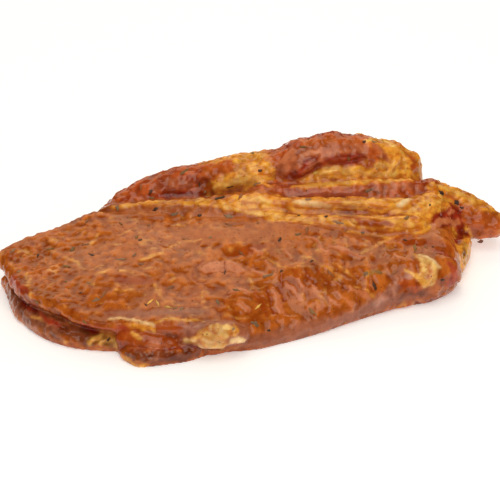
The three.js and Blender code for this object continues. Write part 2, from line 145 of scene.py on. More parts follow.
# Creases cut into the meat, as spines too, mm
CREASES = (
    # under the left muscle
    ((-55, 29.5, 20, 1.2), (-48, 27.5, 22, 1.6), (-40, 27.5, 23.5, 1.8), (-32, 28, 24.8, 1.8),
     (-23, 30.2, 25.2, 1.8), (-17, 32.5, 27, 1.6)),
    # under the great muscle
    ((10, 33.5, 30, 1.2), (14, 31, 27.8, 1.3), (19, 31, 28.2, 1.3), (23, 32.7, 30.3, 1.4),
     (27, 33.5, 33, 1.5), (37, 34, 34, 1.6), (44, 36.5, 34.5, 1.3)),
    # between the two cords
    ((6, 18.5, 24, 1.4), (19, 17, 23.6, 1.6), (36, 17, 23.4, 1.6), (50, 15.8, 23.2, 1.6), (62, 18, 23, 1.4)),
    # along the back edge of the face
    ((-57, 21, 20, 1.3), (-45, 20.5, 22, 1.4), (-19, 17, 22.3, 1.2), (5, 13.8, 22.6, 1.2),
     (28, 10.7, 22, 1.4)),
    ((28, 10.7, 22, 1.4), (38, 8.8, 21.2, 1.6), (50, 5, 20, 1.7), (59, 5.5, 20, 1.7), (68, 8, 19.8, 1.7)),
    # behind the front lobe
    ((59, 1, 20, 1.2), (67, -2.5, 19.4, 1.8), (72, -3.2, 17.6, 2), (77, -2, 14, 2), (81, 0, 9, 2)),
    # between the two leaves
    ((-93, -3, 7.4, 1), (-89, -16, 7.2, 1), (-82, -29, 7.2, 1), (-70, -40.5, 7, 1.2), (-60, -45, 6.8, 1.7),
     (-50, -48, 6.8, 1.3)),
    # under the tip
    ((78.5, 18.5, 12, 2), (82, 22.5, 11, 2.5), (87, 25, 8.5, 2.8)),
    # the fold on top of the tip
    ((73, 31, 22.6, 1.4), (78, 32, 20, 1.8), (82, 31, 17.4, 1.7), (85, 30.2, 16, 1.4)),
)


def ease(low, high, v):
    """0 before low, 1 after high, and a smooth rise between them."""
    t = np.clip((v - low) / (high - low), 0, 1)
    return t * t * (3 - 2 * t)


def mix(a, b, t):
    return a + (b - a) * t


def blend(a, b, k):
    """The union of two distance fields with a soft join."""
    h = np.maximum(k - np.abs(a - b), 0) / k
    return np.minimum(a, b) - h * h * k / 4


def closed_curve(corners, steps):
    """A smooth closed line through the corners (centripetal Catmull-Rom)."""
    points = np.array(corners, float)
    line = []
    for i in range(len(points)):
        p0, p1, p2, p3 = (points[(i + k) % len(points)] for k in (-1, 0, 1, 2))
        g0, g1, g2 = (math.sqrt(math.dist(a, b)) for a, b in ((p0, p1), (p1, p2), (p2, p3)))
        t1 = ((p1 - p0) / g0 - (p2 - p0) / (g0 + g1) + (p2 - p1) / g1) * g1
        t2 = ((p2 - p1) / g1 - (p3 - p1) / (g1 + g2) + (p3 - p2) / g2) * g1
        for s in range(steps):
            t = s / steps
            line.append(
                p1 + t1 * t + (3 * (p2 - p1) - 2 * t1 - t2) * t**2 + (2 * (p1 - p2) + t1 + t2) * t**3
            )
    return np.array(line)


CURVE_STEPS = 4  # points on an outline between two of its corners
INSIDE_GRID = 1.001  # keeps the cell of the last point on the grid


class Plan:
    """The distance to a closed outline seen from above, negative inside, kept on a grid of 1 mm."""

    LOW, HIGH = np.array([-104.0, -70.0]), np.array([108.0, 66.0])

    def __init__(self, corners):
        ring = closed_curve(corners, CURVE_STEPS)
        x, y = np.meshgrid(*(np.arange(a, b + 1) for a, b in zip(self.LOW, self.HIGH)), indexing="ij")
        nearest = np.full(x.shape, np.inf)
        inside = np.zeros(x.shape, bool)
        for a, b in zip(np.roll(ring, 1, axis=0), ring):
            d = b - a
            t = np.clip(((x - a[0]) * d[0] + (y - a[1]) * d[1]) / (d @ d), 0, 1)
            nearest = np.minimum(nearest, np.hypot(x - a[0] - t * d[0], y - a[1] - t * d[1]))
            if a[1] != b[1]:
                inside ^= ((a[1] > y) != (b[1] > y)) & (x < a[0] + (y - a[1]) * d[0] / d[1])
        self.grid = np.where(inside, -nearest, nearest)

    def __call__(self, x, y):
        limit = np.array(self.grid.shape) - INSIDE_GRID
        u = np.clip(x - self.LOW[0], 0, limit[0])
        v = np.clip(y - self.LOW[1], 0, limit[1])
        i, j = u.astype(int), v.astype(int)
        u, v = u - i, v - j
        g = self.grid
        return mix(mix(g[i, j], g[i + 1, j], u), mix(g[i, j + 1], g[i + 1, j + 1], u), v)


FAR = 8.0  # the distance told for a point that is nowhere near a cord, mm


def cord(spine, p):
    """The distance from the points p to a chain of round cones, or FAR."""
    spine = np.array(spine, float)
    low = (spine[:, :3] - spine[:, 3:]).min(0) - FAR
    high = (spine[:, :3] + spine[:, 3:]).max(0) + FAR
    near = np.all((p > low) & (p < high), axis=1)
    q = p[near]
    d = np.full(len(q), FAR)
    for a, b in zip(spine, spine[1:]):
        along = b[:3] - a[:3]
        t = np.clip((q - a[:3]) @ along / (along @ along), 0, 1)
        reach = np.linalg.norm(q - a[:3] - t[:, None] * along, axis=1)
        d = np.minimum(d, reach - mix(a[3], b[3], t))
    result = np.full(len(p), FAR)
    result[near] = d
    return result


def slab(plan, z, low, high, edge):
    """The distance to a slab with rounded edges, between a low and a high surface."""
    half = (high - low) / 2
    rounding = np.minimum(edge, half)
    out = plan + rounding
    over = np.abs(z - (low + high) / 2) - half + rounding
    corner = np.hypot(np.maximum(out, 0), np.maximum(over, 0))
    return corner + np.minimum(np.maximum(out, over), 0) - rounding


UPPER_PLAN, LOWER_PLAN, FLAP_PLAN = Plan(UPPER_LEAF), Plan(LOWER_LEAF), Plan(FLAP)
SOFT_JOINS = (
    (FLESH_BLEND, (LEFT_SEAM, SEAM_CREST, RIGHT_FAT, FRONT_LOBE, TIP, TIP_CREST)),
    (CORD_BLEND, (UPPER_CORD, LOWER_CORD, UNDER_FAT, FAT_UNDER_TIP)),
    (RIDGE_BLEND, (LEFT_MUSCLE, MIDDLE_FAT, GREAT_MUSCLE, RIGHT_END)),
    (KNOB_BLEND, (FAT_KNOB,)),
)


def swell(x, y):
    return sum(h * np.sin(x / a + y / b + phase) for h, a, b, phase in SWELLS)


def meat_field(p):
    """How far the points p are outside the meat, in mm, in the drawing's frame."""
    x, y, z = p.T
    upper, lower, flap = UPPER_PLAN(x, y), LOWER_PLAN(x, y), FLAP_PLAN(x, y)
    rise = np.clip((y - FACE_FRONT_Y) / (FACE_BACK_Y - FACE_FRONT_Y), 0, 1)
    drop = FACE_LEFT_DROP * rise * ease(LEFT_DROP_FROM, LEFT_DROP_TO, x)
    past = x + POCKET_LEAN * (y - FACE_FRONT_Y)
    split = 1 - ease(POCKET_FROM, POCKET_TO, past)
    right = ease(SHOULDER_LEFT, SHOULDER_RIGHT, x)
    sink = mix(SHOULDER_DROP_LEFT, SHOULDER_DROP_RIGHT, right) * ease(SHOULDER_START, SHOULDER_LEFT, x)
    shoulder = sink * (1 - ease(0, SHOULDER_WIDTH, -upper))
    top = mix(FACE_FRONT_HEIGHT, FACE_BACK_HEIGHT, rise) - drop - shoulder + swell(x, y)
    mouth = split * ease(-POCKET_DEPTH, 0, upper)
    underside = mix(-FOOT_CUT, LOWER_LEAF_HEIGHT - 1, split) + POCKET_GAP * mouth
    wall = mix(WALL_EDGE_LEFT, WALL_EDGE_RIGHT, right)
    d = slab(upper, z, underside, top, mix(wall, LIP_EDGE, split))
    for softness, spines in SOFT_JOINS:
        for spine in spines:
            d = blend(d, cord(spine, p), softness)
    lower_top = LOWER_LEAF_HEIGHT + 0.5 * swell(y, x)
    d = blend(d, slab(lower, z, -FOOT_CUT, lower_top, LOWER_EDGE), LEAF_BLEND)
    d = blend(d, cord(LOWER_LOBE, p), LOBE_BLEND)
    d = blend(d, slab(flap, z, -FOOT_CUT, FLAP_HEIGHT, FLAP_EDGE), LEAF_BLEND)
    d = np.minimum(d, cord(SMALL_TAB, p))
    for crease in CREASES:
        d = -blend(-d, cord(crease, p), CREASE_BLEND)
    return d


def slope(p, value):
    """The field's slope at the points p."""
    step = 0.15
    return np.stack([(meat_field(p + step * axis) - value) / step for axis in np.eye(3)], axis=1)


NOISE_GAIN = 1.7  # brings the noise to a range of about -1 to 1


class Noise:
    """Smooth repeatable noise over points, from about -1 to 1."""

    def __init__(self, seed):
        draw = np.random.default_rng(seed)
        self.order = draw.permutation(256)
        slopes = draw.normal(size=(256, 3))
        self.slopes = slopes / np.linalg.norm(slopes, axis=1, keepdims=True)

    def __call__(self, p, size):
        q = p / np.array(size, float)
        cell = np.floor(q).astype(int)
        f = q - cell
        fade = f * f * f * (f * (f * 6 - 15) + 10)
        total = np.zeros(len(p))
        for corner in np.ndindex(2, 2, 2):
            c = (cell + corner) & 255
            h = self.order[(self.order[(self.order[c[:, 0]] + c[:, 1]) & 255] + c[:, 2]) & 255]
            pull = np.einsum("ij,ij->i", self.slopes[h], f - corner)
            total += pull * np.prod(np.where(corner, fade, 1 - fade), axis=1)
        return total * NOISE_GAIN


def colour(red, green, blue):
    """A finish's colour as it is named in paint charts, 0 to 255, made linear."""
    shares = np.array([red, green, blue]) / 255
    return np.where(shares <= 0.04045, shares / 12.92, ((shares + 0.055) / 1.055) ** 2.4)


class View:
    """The drawing view, laid over the CAD solid, so that a pixel of the picture can be found on the meat."""

    def __init__(self, surface):
        self.surface = surface
        self.back = np.array([0, -math.cos(VIEW_ELEVATION), math.sin(VIEW_ELEVATION)])
        self.up = np.array([0, math.sin(VIEW_ELEVATION), math.cos(VIEW_ELEVATION)])
        self.eye = VIEW_TARGET + self.back * VIEW_DISTANCE + SHIFT

    def ray(self, across, down):
        """The direction from the eye through a pixel, counted from the picture's top left corner."""
        side = np.array([across - VIEW_WIDTH / 2, 0, 0]) / VIEW_FOCUS
        return side - self.up * (down - VIEW_WIDTH / 2) / VIEW_FOCUS - self.back

    def spot(self, across, down):
        """The place in metres and the normal where a pixel shows the meat, or None."""
        place, normal, *_ = self.surface.ray_cast(Vector(self.eye * MM), Vector(self.ray(across, down)))
        return place and (place, normal)

    def table(self, across, down):
        """The place in metres where a pixel shows the table."""
        ray = self.ray(across, down)
        return Vector((self.eye - ray * self.eye[2] / ray[2]) * MM)

    def spine(self, stroke):
        """The stroke's pixels (across, down, reach) as a spine in the drawing's frame, mm."""
        rows = [(self.spot(across, down), reach * PIXEL) for across, down, reach in stroke]
        return [(*(np.array(spot[0]) / MM - SHIFT), reach) for spot, reach in rows if spot]


class Finish:
    """How one kind of flesh, fat or marinade looks, or a painted highlight, reflection or shadow laid over it:
    its colours, shine and relief.
    """

    def __init__(self, light, dark, tone, shine, rise=0.0, grain=1.0, soft=0.8, vein=None):
        self.light, self.dark = colour(*light), colour(*dark)
        self.tone = tone  # how far slow noise, streaks and the relief's tops, as a painted highlight, move it from dark to light
        self.shine = shine  # roughness of the wet film
        self.rise = rise  # mm above the flesh around it
        self.grain = grain  # share of the face's relief
        self.soft = soft  # how far its edge fades, mm
        self.vein = None if vein is None else colour(*vein)


FINISHES = {
    "face": Finish((198, 106, 38), (148, 60, 7), (0.15, 0.3, 0.36), 0.07),
    "matte": Finish((198, 112, 50), (176, 84, 30), (0.2, 0.3, 0.2), 0.32, grain=0.35, soft=3),
    "glaze": Finish((176, 80, 22), (148, 54, 10), (0.3, 0.1, 0.3), 0.09, -0.1, 0.7, 1.0),
    # Darker in creases: painted shade, in creases that are also sunk into the relief
    "crease": Finish((160, 64, 16), (134, 46, 8), (0.2, 0.2, 0.2), 0.09, -0.35, 0.5, 0.6),
    # Salmon patches: a painted reflection of the softboxes on the wet film, which is also raised and smooth
    "painted sheen": Finish((216, 130, 86), (190, 100, 54), (0.1, 0.2, 0.3), 0.08, 0.25, 0.3, 0.5),
    "membrane": Finish((176, 105, 74), (148, 79, 52), (0.3, 0.3, 0.1), 0.2, 0.0, 0.3, 1.8),
    "muscle": Finish((210, 104, 50), (150, 52, 16), (0.3, 0.25, 0.35), 0.08, 0.0, 0.65, 1.2),
    "purple": Finish((206, 118, 74), (152, 66, 34), (0.3, 0.3, 0.3), 0.08, 0.0, 0.55, 0.9),
    "strip": Finish((214, 120, 84), (172, 80, 48), (0.2, 0.4, 0.2), 0.14, 0.0, 0.5, 0.8),
    "crimson": Finish((176, 58, 30), (116, 28, 12), (0.3, 0.3, 0.3), 0.1, 0.0, 0.9, 0.9),
    "ember": Finish((200, 102, 38), (164, 64, 18), (0.3, 0.3, 0.2), 0.12, 0.0, 0.8, 1.0),
    "fat": Finish((248, 174, 62), (206, 114, 30), (0.3, 0.6, 0.4), 0.12, 0.15, 0.8, 0.8, (190, 94, 26)),
    "palefat": Finish((250, 194, 98), (226, 146, 50), (0.3, 0.4, 0.4), 0.14, 0.25, 0.8, 0.6, (216, 124, 46)),
    "curd": Finish((244, 198, 116), (216, 142, 62), (0.3, 0.4, 0.6), 0.16, 0.3, 2.0, 0.7, (206, 118, 44)),
    "tendon": Finish((248, 210, 152), (228, 172, 104), (0.2, 0.4, 0.2), 0.16, 0.25, 0.4, 0.6),
    "thread": Finish((236, 166, 80), (206, 124, 48), (0.2, 0.2, 0.4), 0.14, 0.05, 0.8, 0.5),
    "pink": Finish((190, 86, 52), (150, 48, 24), (0.3, 0.2, 0.3), 0.12, 0.0, 0.8, 0.9),
    # A pale purple sheen: a painted reflection of the white table on low, wet sides
    "painted lilac sheen": Finish((196, 132, 106), (152, 88, 66), (0.3, 0.3, 0.3), 0.16, 0.0, 0.6, 1.0),
    "dusk": Finish((150, 76, 40), (104, 40, 14), (0.3, 0.3, 0.4), 0.12, 0.0, 0.9, 0.9),
    # Very dark red: painted shadow in narrow gaps, over the meat's own dark red
    "slit shadow": Finish((146, 24, 10), (100, 11, 5), (0.2, 0.2, 0.2), 0.14, -0.3, 0.5, 0.7),
    "brown": Finish((166, 98, 66), (112, 54, 30), (0.3, 0.3, 0.4), 0.12, 0.0, 1.2, 2.0),
    "olive": Finish((212, 150, 66), (132, 76, 26), (0.2, 0.2, 0.7), 0.2, 0.1, 1.3, 1.0),
}

# Noise in the paint and in the relief: a seed and the size of its grains, mm
NOISES = {
    "tone": (1, 15), "lines": (5, (10, 2.6, 2.6)), "web": (12, (16, 9, 9)), "web places": (13, 9),
    "breaks": (16, 2.2), "waves": (8, 10), "calm": (19, 12), "pores": (11, (0.9, 1.6, 0.9)),
    "film edge": (21, (1.1, 2, 1.1)), "crags": (14, 6), "crumbs": (15, 2.2),
}
# Noise whose grains turn on the shoulder: a seed and a size on the face, and both on the shoulder
TURNING_NOISES = {
    "streaks": ((3, (3.2, 2.6, 1.8)), (4, (1.4, 5, 2.6))),
    "golden": ((17, (5, 3.6, 2.6)), (18, (2.6, 6, 4))),
    "plates": ((6, (2.6, 3.6, 2.4)), (7, (2.3, 5.6, 3.8))),
    "beads": ((9, (1.3, 2.0, 1.2)), (10, (1.1, 2.4, 1.6))),
    "film": ((2, (2.8, 4.4, 2.6)), (22, (3.2, 7, 4))),
}
# Noise that bends borders and relief: the first of its three seeds and its size, mm
WIDE_BEND, FINE_BEND, RELIEF_BEND = (20, 5.5), (30, 1.9), (40, 6)
BORDER_SHIFT, BACK_BORDER_SHIFT, FINE_SHIFT, RELIEF_SHIFT, WEB_SHIFT = 0.9, 3.0, 0.5, 1.6, 1.5  # mm
BACK_WALL = (46, 60)  # from where to where along y the borders get wilder, mm
TURN_X, TURN_Y = (-8, 24), (2, 12)  # from where to where the grain turns on the shoulder, mm

# Veins in fat and the web of fat over the face: from where to where in its noise each fades
LINE_FADE, WEB_FADE, WEB_PLACES, GOLDEN_FADE, BREAK_FADE = (
    (0.02, 0.16), (0.005, 0.055), (-0.1, 0.4), (0.42, 0.75), (-0.35, 0.25)
)
LINE_SWAY, LINE_SHARE, WEB_SHARE, BREAK_SHARE = 0.04, 0.6, 0.45, 0.4

# The relief's heights, mm, where a pair holds the face's and the shoulder's
PLATE_HEIGHTS, BEAD_HEIGHTS = (0.12, 0.2), (0.05, 0.07)
PORE_HEIGHT, FILM_HEIGHT, WAVE_HEIGHT, CRAG_HEIGHT = 0.05, 0.06, 0.3, 0.6
PLATE_SHARPNESS, BEAD_SHARPNESS, FILM_SHARPNESS, FILM_EDGE = 2.6, 2.2, 5, 0.25
CALM_SHARES, CALM_FADE = (0.4, 0.85), (-0.3, 0.3)
RAGGED_LEFT, RAGGED_BACK, RAGGED_FOOT = (-50, -80), (6, 36), (10, 5)  # along x, y and z, mm

# What each form is made of, under the finer strokes
FORM_FINISHES = (
    ("muscle", LEFT_MUSCLE), ("fat", MIDDLE_FAT), ("muscle", GREAT_MUSCLE), ("fat", RIGHT_END),
    ("fat", UNDER_FAT), ("muscle", SEAM_CREST), ("fat", UPPER_CORD), ("fat", LOWER_CORD),
    ("fat", RIGHT_FAT), ("fat", TIP_CREST), ("ember", TIP), ("fat", FAT_UNDER_TIP),
    ("face", FRONT_LOBE), ("membrane", FAT_KNOB), ("glaze", LOWER_LOBE),
)
FORM_MARGIN = 0.9  # how far a form's finish reaches past its spine's radius, mm

# Strokes of finish over the meat, the later ones on top: a finish and a line of pixels of the drawing view,
# each (across, down, reach)
STROKES = {
    "left muscle": ("muscle", [
        (112, 204, 3), (122, 201, 4), (134, 196, 5), (148, 190, 8), (164, 183, 12), (182, 178, 14),
        (200, 174, 13), (208, 172, 11),
    ]),
    # Painted highlight on the left muscle
    "left muscle shine": ("purple", [(156, 187, 4), (166, 184, 6), (176, 183, 7), (184, 184, 6)]),
    "left muscle head": ("ember", [(214, 170, 10), (226, 167, 9), (232, 164, 6)]),
    "left muscle hollow": ("glaze", [(196, 192, 3), (201, 186, 4), (208, 187, 4), (212, 192, 2.6)]),
    # Painted shade under the left muscle, over its dark red underside
    "left muscle foot": ("crimson", [(158, 195, 3), (170, 196, 3), (184, 195, 3.4), (196, 193, 3)]),
    "great muscle": ("purple", [
        (284, 166, 9), (292, 162, 12), (304, 158, 13), (322, 152, 12), (344, 150, 12), (360, 152, 9),
    ]),
    "great muscle top": ("ember", [(306, 144, 4), (322, 141, 5), (342, 140, 5), (358, 142, 4)]),
    # Painted reflections of the softboxes on the great muscle
    "great muscle gloss": ("painted sheen", [(281, 163, 3), (286, 157, 4.4), (292, 152, 4)]),
    "great muscle gloss b": ("painted sheen", [(300, 157, 2.4), (309, 153, 3), (318, 152, 2)]),
    # Darker folds in the great muscle: painted shade, over its dark red
    "great muscle fold": ("crimson", [(294, 175, 2), (302, 168, 2.4), (310, 161, 2.6), (317, 157, 1.6)]),
    "great muscle fold b": ("crimson", [(324, 164, 2), (334, 158, 3), (346, 156, 3.4), (360, 157, 3)]),
    "great muscle fold c": ("crimson", [(283, 150, 1), (290, 146, 1.4), (298, 143, 1)]),
    # Painted shadow under the great muscle's overhang, over its dark red lower edge
    "great muscle foot": ("crimson", [
        (290, 178, 3), (304, 176, 4), (315, 171, 4), (326, 163, 3.4), (340, 161, 4), (352, 162, 3.6),
        (364, 158, 3),
    ]),
    "left seam": ("fat", [
        (111, 208, 1.6), (122, 206, 2.6), (140, 204, 3), (160, 204, 3), (180, 203, 3.4), (205, 202, 5.4),
        (228, 203, 8), (250, 204, 11), (266, 205, 12), (276, 205, 12),
    ]),
    "left seam light": ("palefat", [
        (122, 206, 1.6), (138, 203, 2), (152, 202, 1.4), (175, 200, 1.2), (205, 198, 1.2),
    ]),
    "seam light low": ("palefat", [
        (226, 206, 2), (238, 210, 2), (252, 213, 2.2), (270, 215, 2.6), (282, 217, 2), (294, 219, 1.2),
    ]),
    "seam light mid": ("palefat", [(244, 198, 3), (256, 199, 4), (270, 201, 3)]),
    "seam brown": ("ember", [(212, 199, 1.6), (222, 198, 2), (232, 199, 1.4)]),
    "middle fat": ("fat", [(222, 155, 5), (240, 158, 9), (254, 165, 12), (266, 172, 11)]),
    "middle fat low": ("palefat", [
        (216, 188, 4), (228, 184, 4), (240, 180, 5), (252, 179, 4), (262, 183, 4), (270, 187, 3),
    ]),
    "middle fat light": ("palefat", [(250, 172, 2.4), (258, 164, 1.8), (264, 155, 1.4), (268, 148, 1.2)]),
    "middle strip": ("strip", [
        (226, 192, 1.6), (236, 190, 2.2), (250, 189, 2.4), (264, 189, 2.2), (278, 189, 2),
    ]),
    "right end": ("fat", [
        (372, 140, 5), (385, 145, 10), (398, 155, 14), (405, 165, 12), (395, 170, 9), (378, 172, 8),
    ]),
    "right end light": ("palefat", [(366, 141, 2.4), (376, 139, 3), (386, 142, 3), (396, 149, 3)]),
    "right end purple": ("purple", [(374, 146, 3), (380, 151, 4), (386, 157, 3.6), (389, 163, 2)]),
    "right end white": ("palefat", [(376, 165, 3), (384, 168, 4), (392, 167, 3)]),
    "right end streak a": ("ember", [(404, 150, 2), (411, 156, 3), (416, 163, 3.6), (414, 168, 3.6)]),
    "right end streak b": ("palefat", [(396, 146, 1.4), (402, 154, 2), (406, 162, 2.2), (403, 170, 2.2)]),
    "under fat": ("fat", [
        (302, 182, 3), (314, 177, 5), (330, 172, 6), (350, 172, 7), (372, 173, 7), (392, 175, 6),
        (414, 177, 4),
    ]),
    "under fat light": ("palefat", [
        (318, 175, 3), (330, 170, 3), (345, 170, 2.4), (360, 173, 2), (380, 174, 3), (396, 174, 2),
    ]),
    "fold shade": ("ember", [
        (290, 183, 0.8), (318, 181, 1), (344, 179, 0.8), (376, 177, 0.8), (402, 178, 1), (418, 179, 1),
    ]),
    "fold band low": ("fat", [
        (294, 187, 3), (320, 185.5, 4.6), (344, 184, 4.6), (365, 182, 4.2), (392, 181, 3.2), (412, 182, 2),
    ]),
    "fold band": ("palefat", [
        (296, 186.5, 2), (320, 184.5, 3.2), (344, 183, 3.2), (365, 181, 3), (392, 180.5, 2.2),
        (410, 181.5, 1.4),
    ]),
    "red strip": ("strip", [
        (288, 192, 3), (302, 193, 3.4), (318, 194, 3.2), (338, 194, 2.6), (354, 194, 2), (364, 194, 1.4),
    ]),
    "brown strip": ("purple", [
        (352, 190, 2), (368, 189, 3.2), (380, 188, 3.6), (395, 187, 3.6), (410, 187, 3.6), (424, 187, 2.6),
    ]),
    "brown strip shade": ("dusk", [(360, 193, 1), (376, 192, 1.6), (390, 192, 1.4)]),
    "upper cord": ("fat", [
        (290, 201, 4), (305, 204, 5), (325, 205, 5), (345, 205, 5.5), (365, 205, 7), (385, 204, 9),
        (402, 202, 9), (418, 200, 9),
    ]),
    "tendon": ("tendon", [(296, 202, 2), (306, 204, 2.6), (318, 206, 2.6), (330, 206, 1.8)]),
    "tendon light": ("tendon", [(398, 207, 2), (403, 203, 2.6), (410, 199, 2)]),
    "cord light": ("palefat", [(344, 202, 2), (364, 202, 2), (384, 201, 1.6)]),
    "cord bend": ("ember", [
        (283, 202, 2), (286, 208, 2.4), (292, 213, 2.6), (302, 216, 2.2), (316, 215, 1.6),
    ]),
    # Darker groove between the cords: painted shade, over the red meat there
    "groove": ("crimson", [
        (318, 211, 1), (334, 211, 1.4), (350, 212, 1.8), (368, 213, 1.6), (386, 214, 1.8), (402, 215, 1.8),
        (416, 218, 1.4),
    ]),
    "lower cord": ("fat", [
        (292, 218, 3), (310, 219, 4), (330, 221, 4.4), (350, 222, 5), (370, 224, 6), (390, 226, 6),
        (410, 227, 6), (424, 222, 5),
    ]),
    "cord glaze": ("glaze", [
        (334, 215, 1.6), (346, 217, 3.4), (358, 220, 5), (370, 222, 5.4), (382, 223, 4), (392, 224, 2),
    ]),
    "lower cord light": ("palefat", [
        (292, 219, 1.4), (306, 220, 1.6), (322, 219, 1), (402, 222, 1.8), (412, 223, 2),
    ]),
    # Painted shade under the lower cord
    "cord foot": ("ember", [
        (306, 224, 1.4), (330, 227, 2), (352, 229, 2.4), (372, 232, 2.6), (392, 234, 2.6), (410, 234, 2.4),
    ]),
    "right fat": ("fat", [(424, 204, 10), (432, 200, 9), (440, 198, 6), (436, 208, 8), (428, 216, 7)]),
    "right fat streak": ("palefat", [(405, 214, 1.6), (414, 209, 2), (424, 203, 2.2), (433, 197, 2)]),
    "right fat light": ("palefat", [(419, 214, 2.4), (428, 207, 3), (437, 202, 2.6), (441, 196, 2)]),
    "tip crest": ("fat", [
        (428, 187, 4), (440, 188, 5), (452, 191, 5), (462, 196, 5), (474, 203, 4), (484, 209, 3),
    ]),
    "tip crest pale": ("palefat", [
        (432, 184, 2.6), (440, 186, 2.6), (450, 190, 2.4), (462, 195, 3), (474, 202, 2),
    ]),
    "tip crest brown": ("ember", [(444, 195, 3), (452, 200, 3.4), (461, 206, 3.6), (470, 209, 3)]),
    "glossy muscle": ("crimson", [
        (438, 222, 8), (447, 218, 10), (456, 214, 9), (452, 207, 6), (458, 225, 8), (460, 234, 5),
        (456, 242, 4),
    ]),
    # Painted reflections on the glossy muscle
    "glossy muscle shine": ("painted sheen", [(434, 226, 3.4), (441, 222, 4.4), (450, 221, 4.4), (457, 223, 3.4)]),
    "glossy muscle shine b": ("painted sheen", [(448, 213, 2), (454, 212, 2.4)]),
    "tip": ("ember", [(470, 219, 8), (480, 220, 9), (490, 221, 9), (494, 223, 6)]),
    # Painted shadow in the hollow under the tip
    "tip hollow": ("crimson", [(464, 233, 3), (469, 236, 3)]),
    "under tip": ("olive", [(465, 246, 4), (466, 254, 5), (464, 262, 4)]),
    "under tip light": ("palefat", [(464, 247, 1.6), (467, 254, 2), (466, 260, 1.4)]),
    "face edge": ("matte", [
        (108, 214, 2), (126, 211, 2), (150, 210, 2), (176, 210, 2), (204, 212, 2.4), (222, 217, 3),
        (244, 222, 3), (270, 226, 4), (292, 227, 4),
    ]),
    "matte band": ("matte", [
        (182, 232, 8), (200, 234, 10), (225, 234, 10), (250, 234, 10), (275, 234, 9), (300, 233, 7),
    ]),
    "left rim": ("matte", [(14, 244, 5), (30, 238, 6), (48, 232, 6), (66, 226, 5)]),
    "wedge": ("glaze", [(228, 256, 3), (240, 252, 6), (252, 249, 7), (264, 246, 4)]),
    "face glaze a": ("glaze", [(120, 279, 4), (135, 281, 6), (150, 280, 5)]),
    "face glaze b": ("glaze", [(286, 262, 1.6), (292, 268, 2.4), (297, 275, 1.8)]),
    "face glaze e": ("glaze", [(317, 268, 1.6), (322, 276, 2.2), (330, 283, 1.8)]),
    "face glaze f": ("glaze", [(372, 262, 1.8), (380, 259, 2.4), (386, 256, 1.6)]),
    "face glaze c": ("glaze", [(400, 240, 5), (416, 243, 6), (432, 243, 6), (448, 247, 6)]),
    "face glaze d": ("glaze", [(256, 292, 2.4), (262, 303, 4), (268, 314, 3)]),
    # Painted reflections of the softboxes on the face: the plateau, the bright patch and the patches after it
    "plateau": ("painted sheen", [(206, 271, 6), (216, 267, 8), (228, 266, 8), (238, 270, 6)]),
    "bright patch": ("painted sheen", [(332, 247, 3), (342, 250, 3.4), (352, 254, 3.4), (360, 257, 2.6)]),
    "patch a": ("painted sheen", [(311, 238, 2), (318, 244, 2.6), (326, 251, 2)]),
    "patch b": ("painted sheen", [(273, 290, 2.4), (279, 302, 4), (281, 313, 3)]),
    "patch c": ("painted sheen", [(287, 283, 2.4), (294, 291, 3.6), (301, 299, 3)]),
    "patch d": ("painted sheen", [(322, 296, 1.6), (325, 306, 2)]),
    "patch e": ("painted sheen", [(353, 289, 2.2), (362, 293, 3), (368, 297, 2.2)]),
    "patch f": ("painted sheen", [(385, 264, 1.6), (390, 271, 2.2)]),
    "patch g": ("painted sheen", [(395, 253, 1.6), (399, 260, 1.6)]),
    "patch h": ("painted sheen", [(240, 304, 2.6), (247, 310, 3)]),
    "patch i": ("painted sheen", [(330, 300, 1.6), (338, 305, 2.2)]),
    "patch j": ("painted sheen", [(266, 262, 2), (273, 270, 2.2), (277, 279, 1.8)]),
    "patch k": ("painted sheen", [(232, 292, 3), (240, 290, 3.4), (248, 293, 2.6)]),
    "patch l": ("painted sheen", [(252, 248, 1.6), (258, 251, 2.4), (264, 255, 1.6)]),
    "patch m": ("painted sheen", [(283, 249, 1.4), (289, 254, 2), (292, 260, 1.4)]),
    "patch n": ("painted sheen", [(340, 239, 1.4), (345, 243, 1.6)]),
    "patch o": ("painted sheen", [(310, 281, 1.8), (316, 290, 2.4), (320, 296, 1.6)]),
    "patch p": ("painted sheen", [(333, 283, 1.4), (337, 290, 1.8), (340, 296, 1.2)]),
    "patch q": ("painted sheen", [(252, 270, 2), (259, 273, 2.8), (266, 276, 2)]),
    "patch r": ("painted sheen", [(345, 300, 1.2), (350, 304, 1.6), (357, 303, 1.2)]),
    "patch s": ("painted sheen", [(370, 284, 1.4), (375, 289, 1.8)]),
    "patch t": ("painted sheen", [(299, 279, 1.4), (303, 287, 1.8)]),
    # Darker streaks and creases on the face: painted shade in them
    "streak a": ("crease", [(282, 274, 1.4), (282, 286, 2), (284, 300, 1.6)]),
    "streak b": ("crease", [(266, 287, 1.6), (269, 298, 2), (274, 312, 1.8)]),
    "streak c": ("crease", [(306, 268, 1.4), (310, 277, 1.8), (316, 286, 1.4)]),
    "streak d": ("crease", [(338, 281, 1.2), (345, 287, 1.6), (352, 292, 1.2)]),
    "crease a": ("crease", [
        (202, 261, 1), (197, 267, 1.4), (193, 275, 1.4), (196, 281, 1.4), (206, 282, 1.2),
    ]),
    "crease b": ("crease", [(224, 262, 1), (225, 268, 1.2), (224, 274, 0.9)]),
    "crease c": ("crease", [(206, 286, 1.2), (212, 288, 1.6), (210, 293, 1.2)]),
    "crease d": ("crease", [(183, 291, 1.2), (187, 295, 2), (192, 293, 1.2)]),
    "purple bay": ("matte", [(128, 213, 3), (140, 212, 4), (152, 212, 4), (163, 213, 3)]),
    "membrane": ("membrane", [
        (106, 314, 2.4), (120, 313, 4), (140, 313, 5), (162, 313, 5), (185, 312, 5), (206, 312, 3.4),
    ]),
    # The wall's foot: pinkish membrane, partly a painted reflection of the table
    "wall foot": ("membrane", [
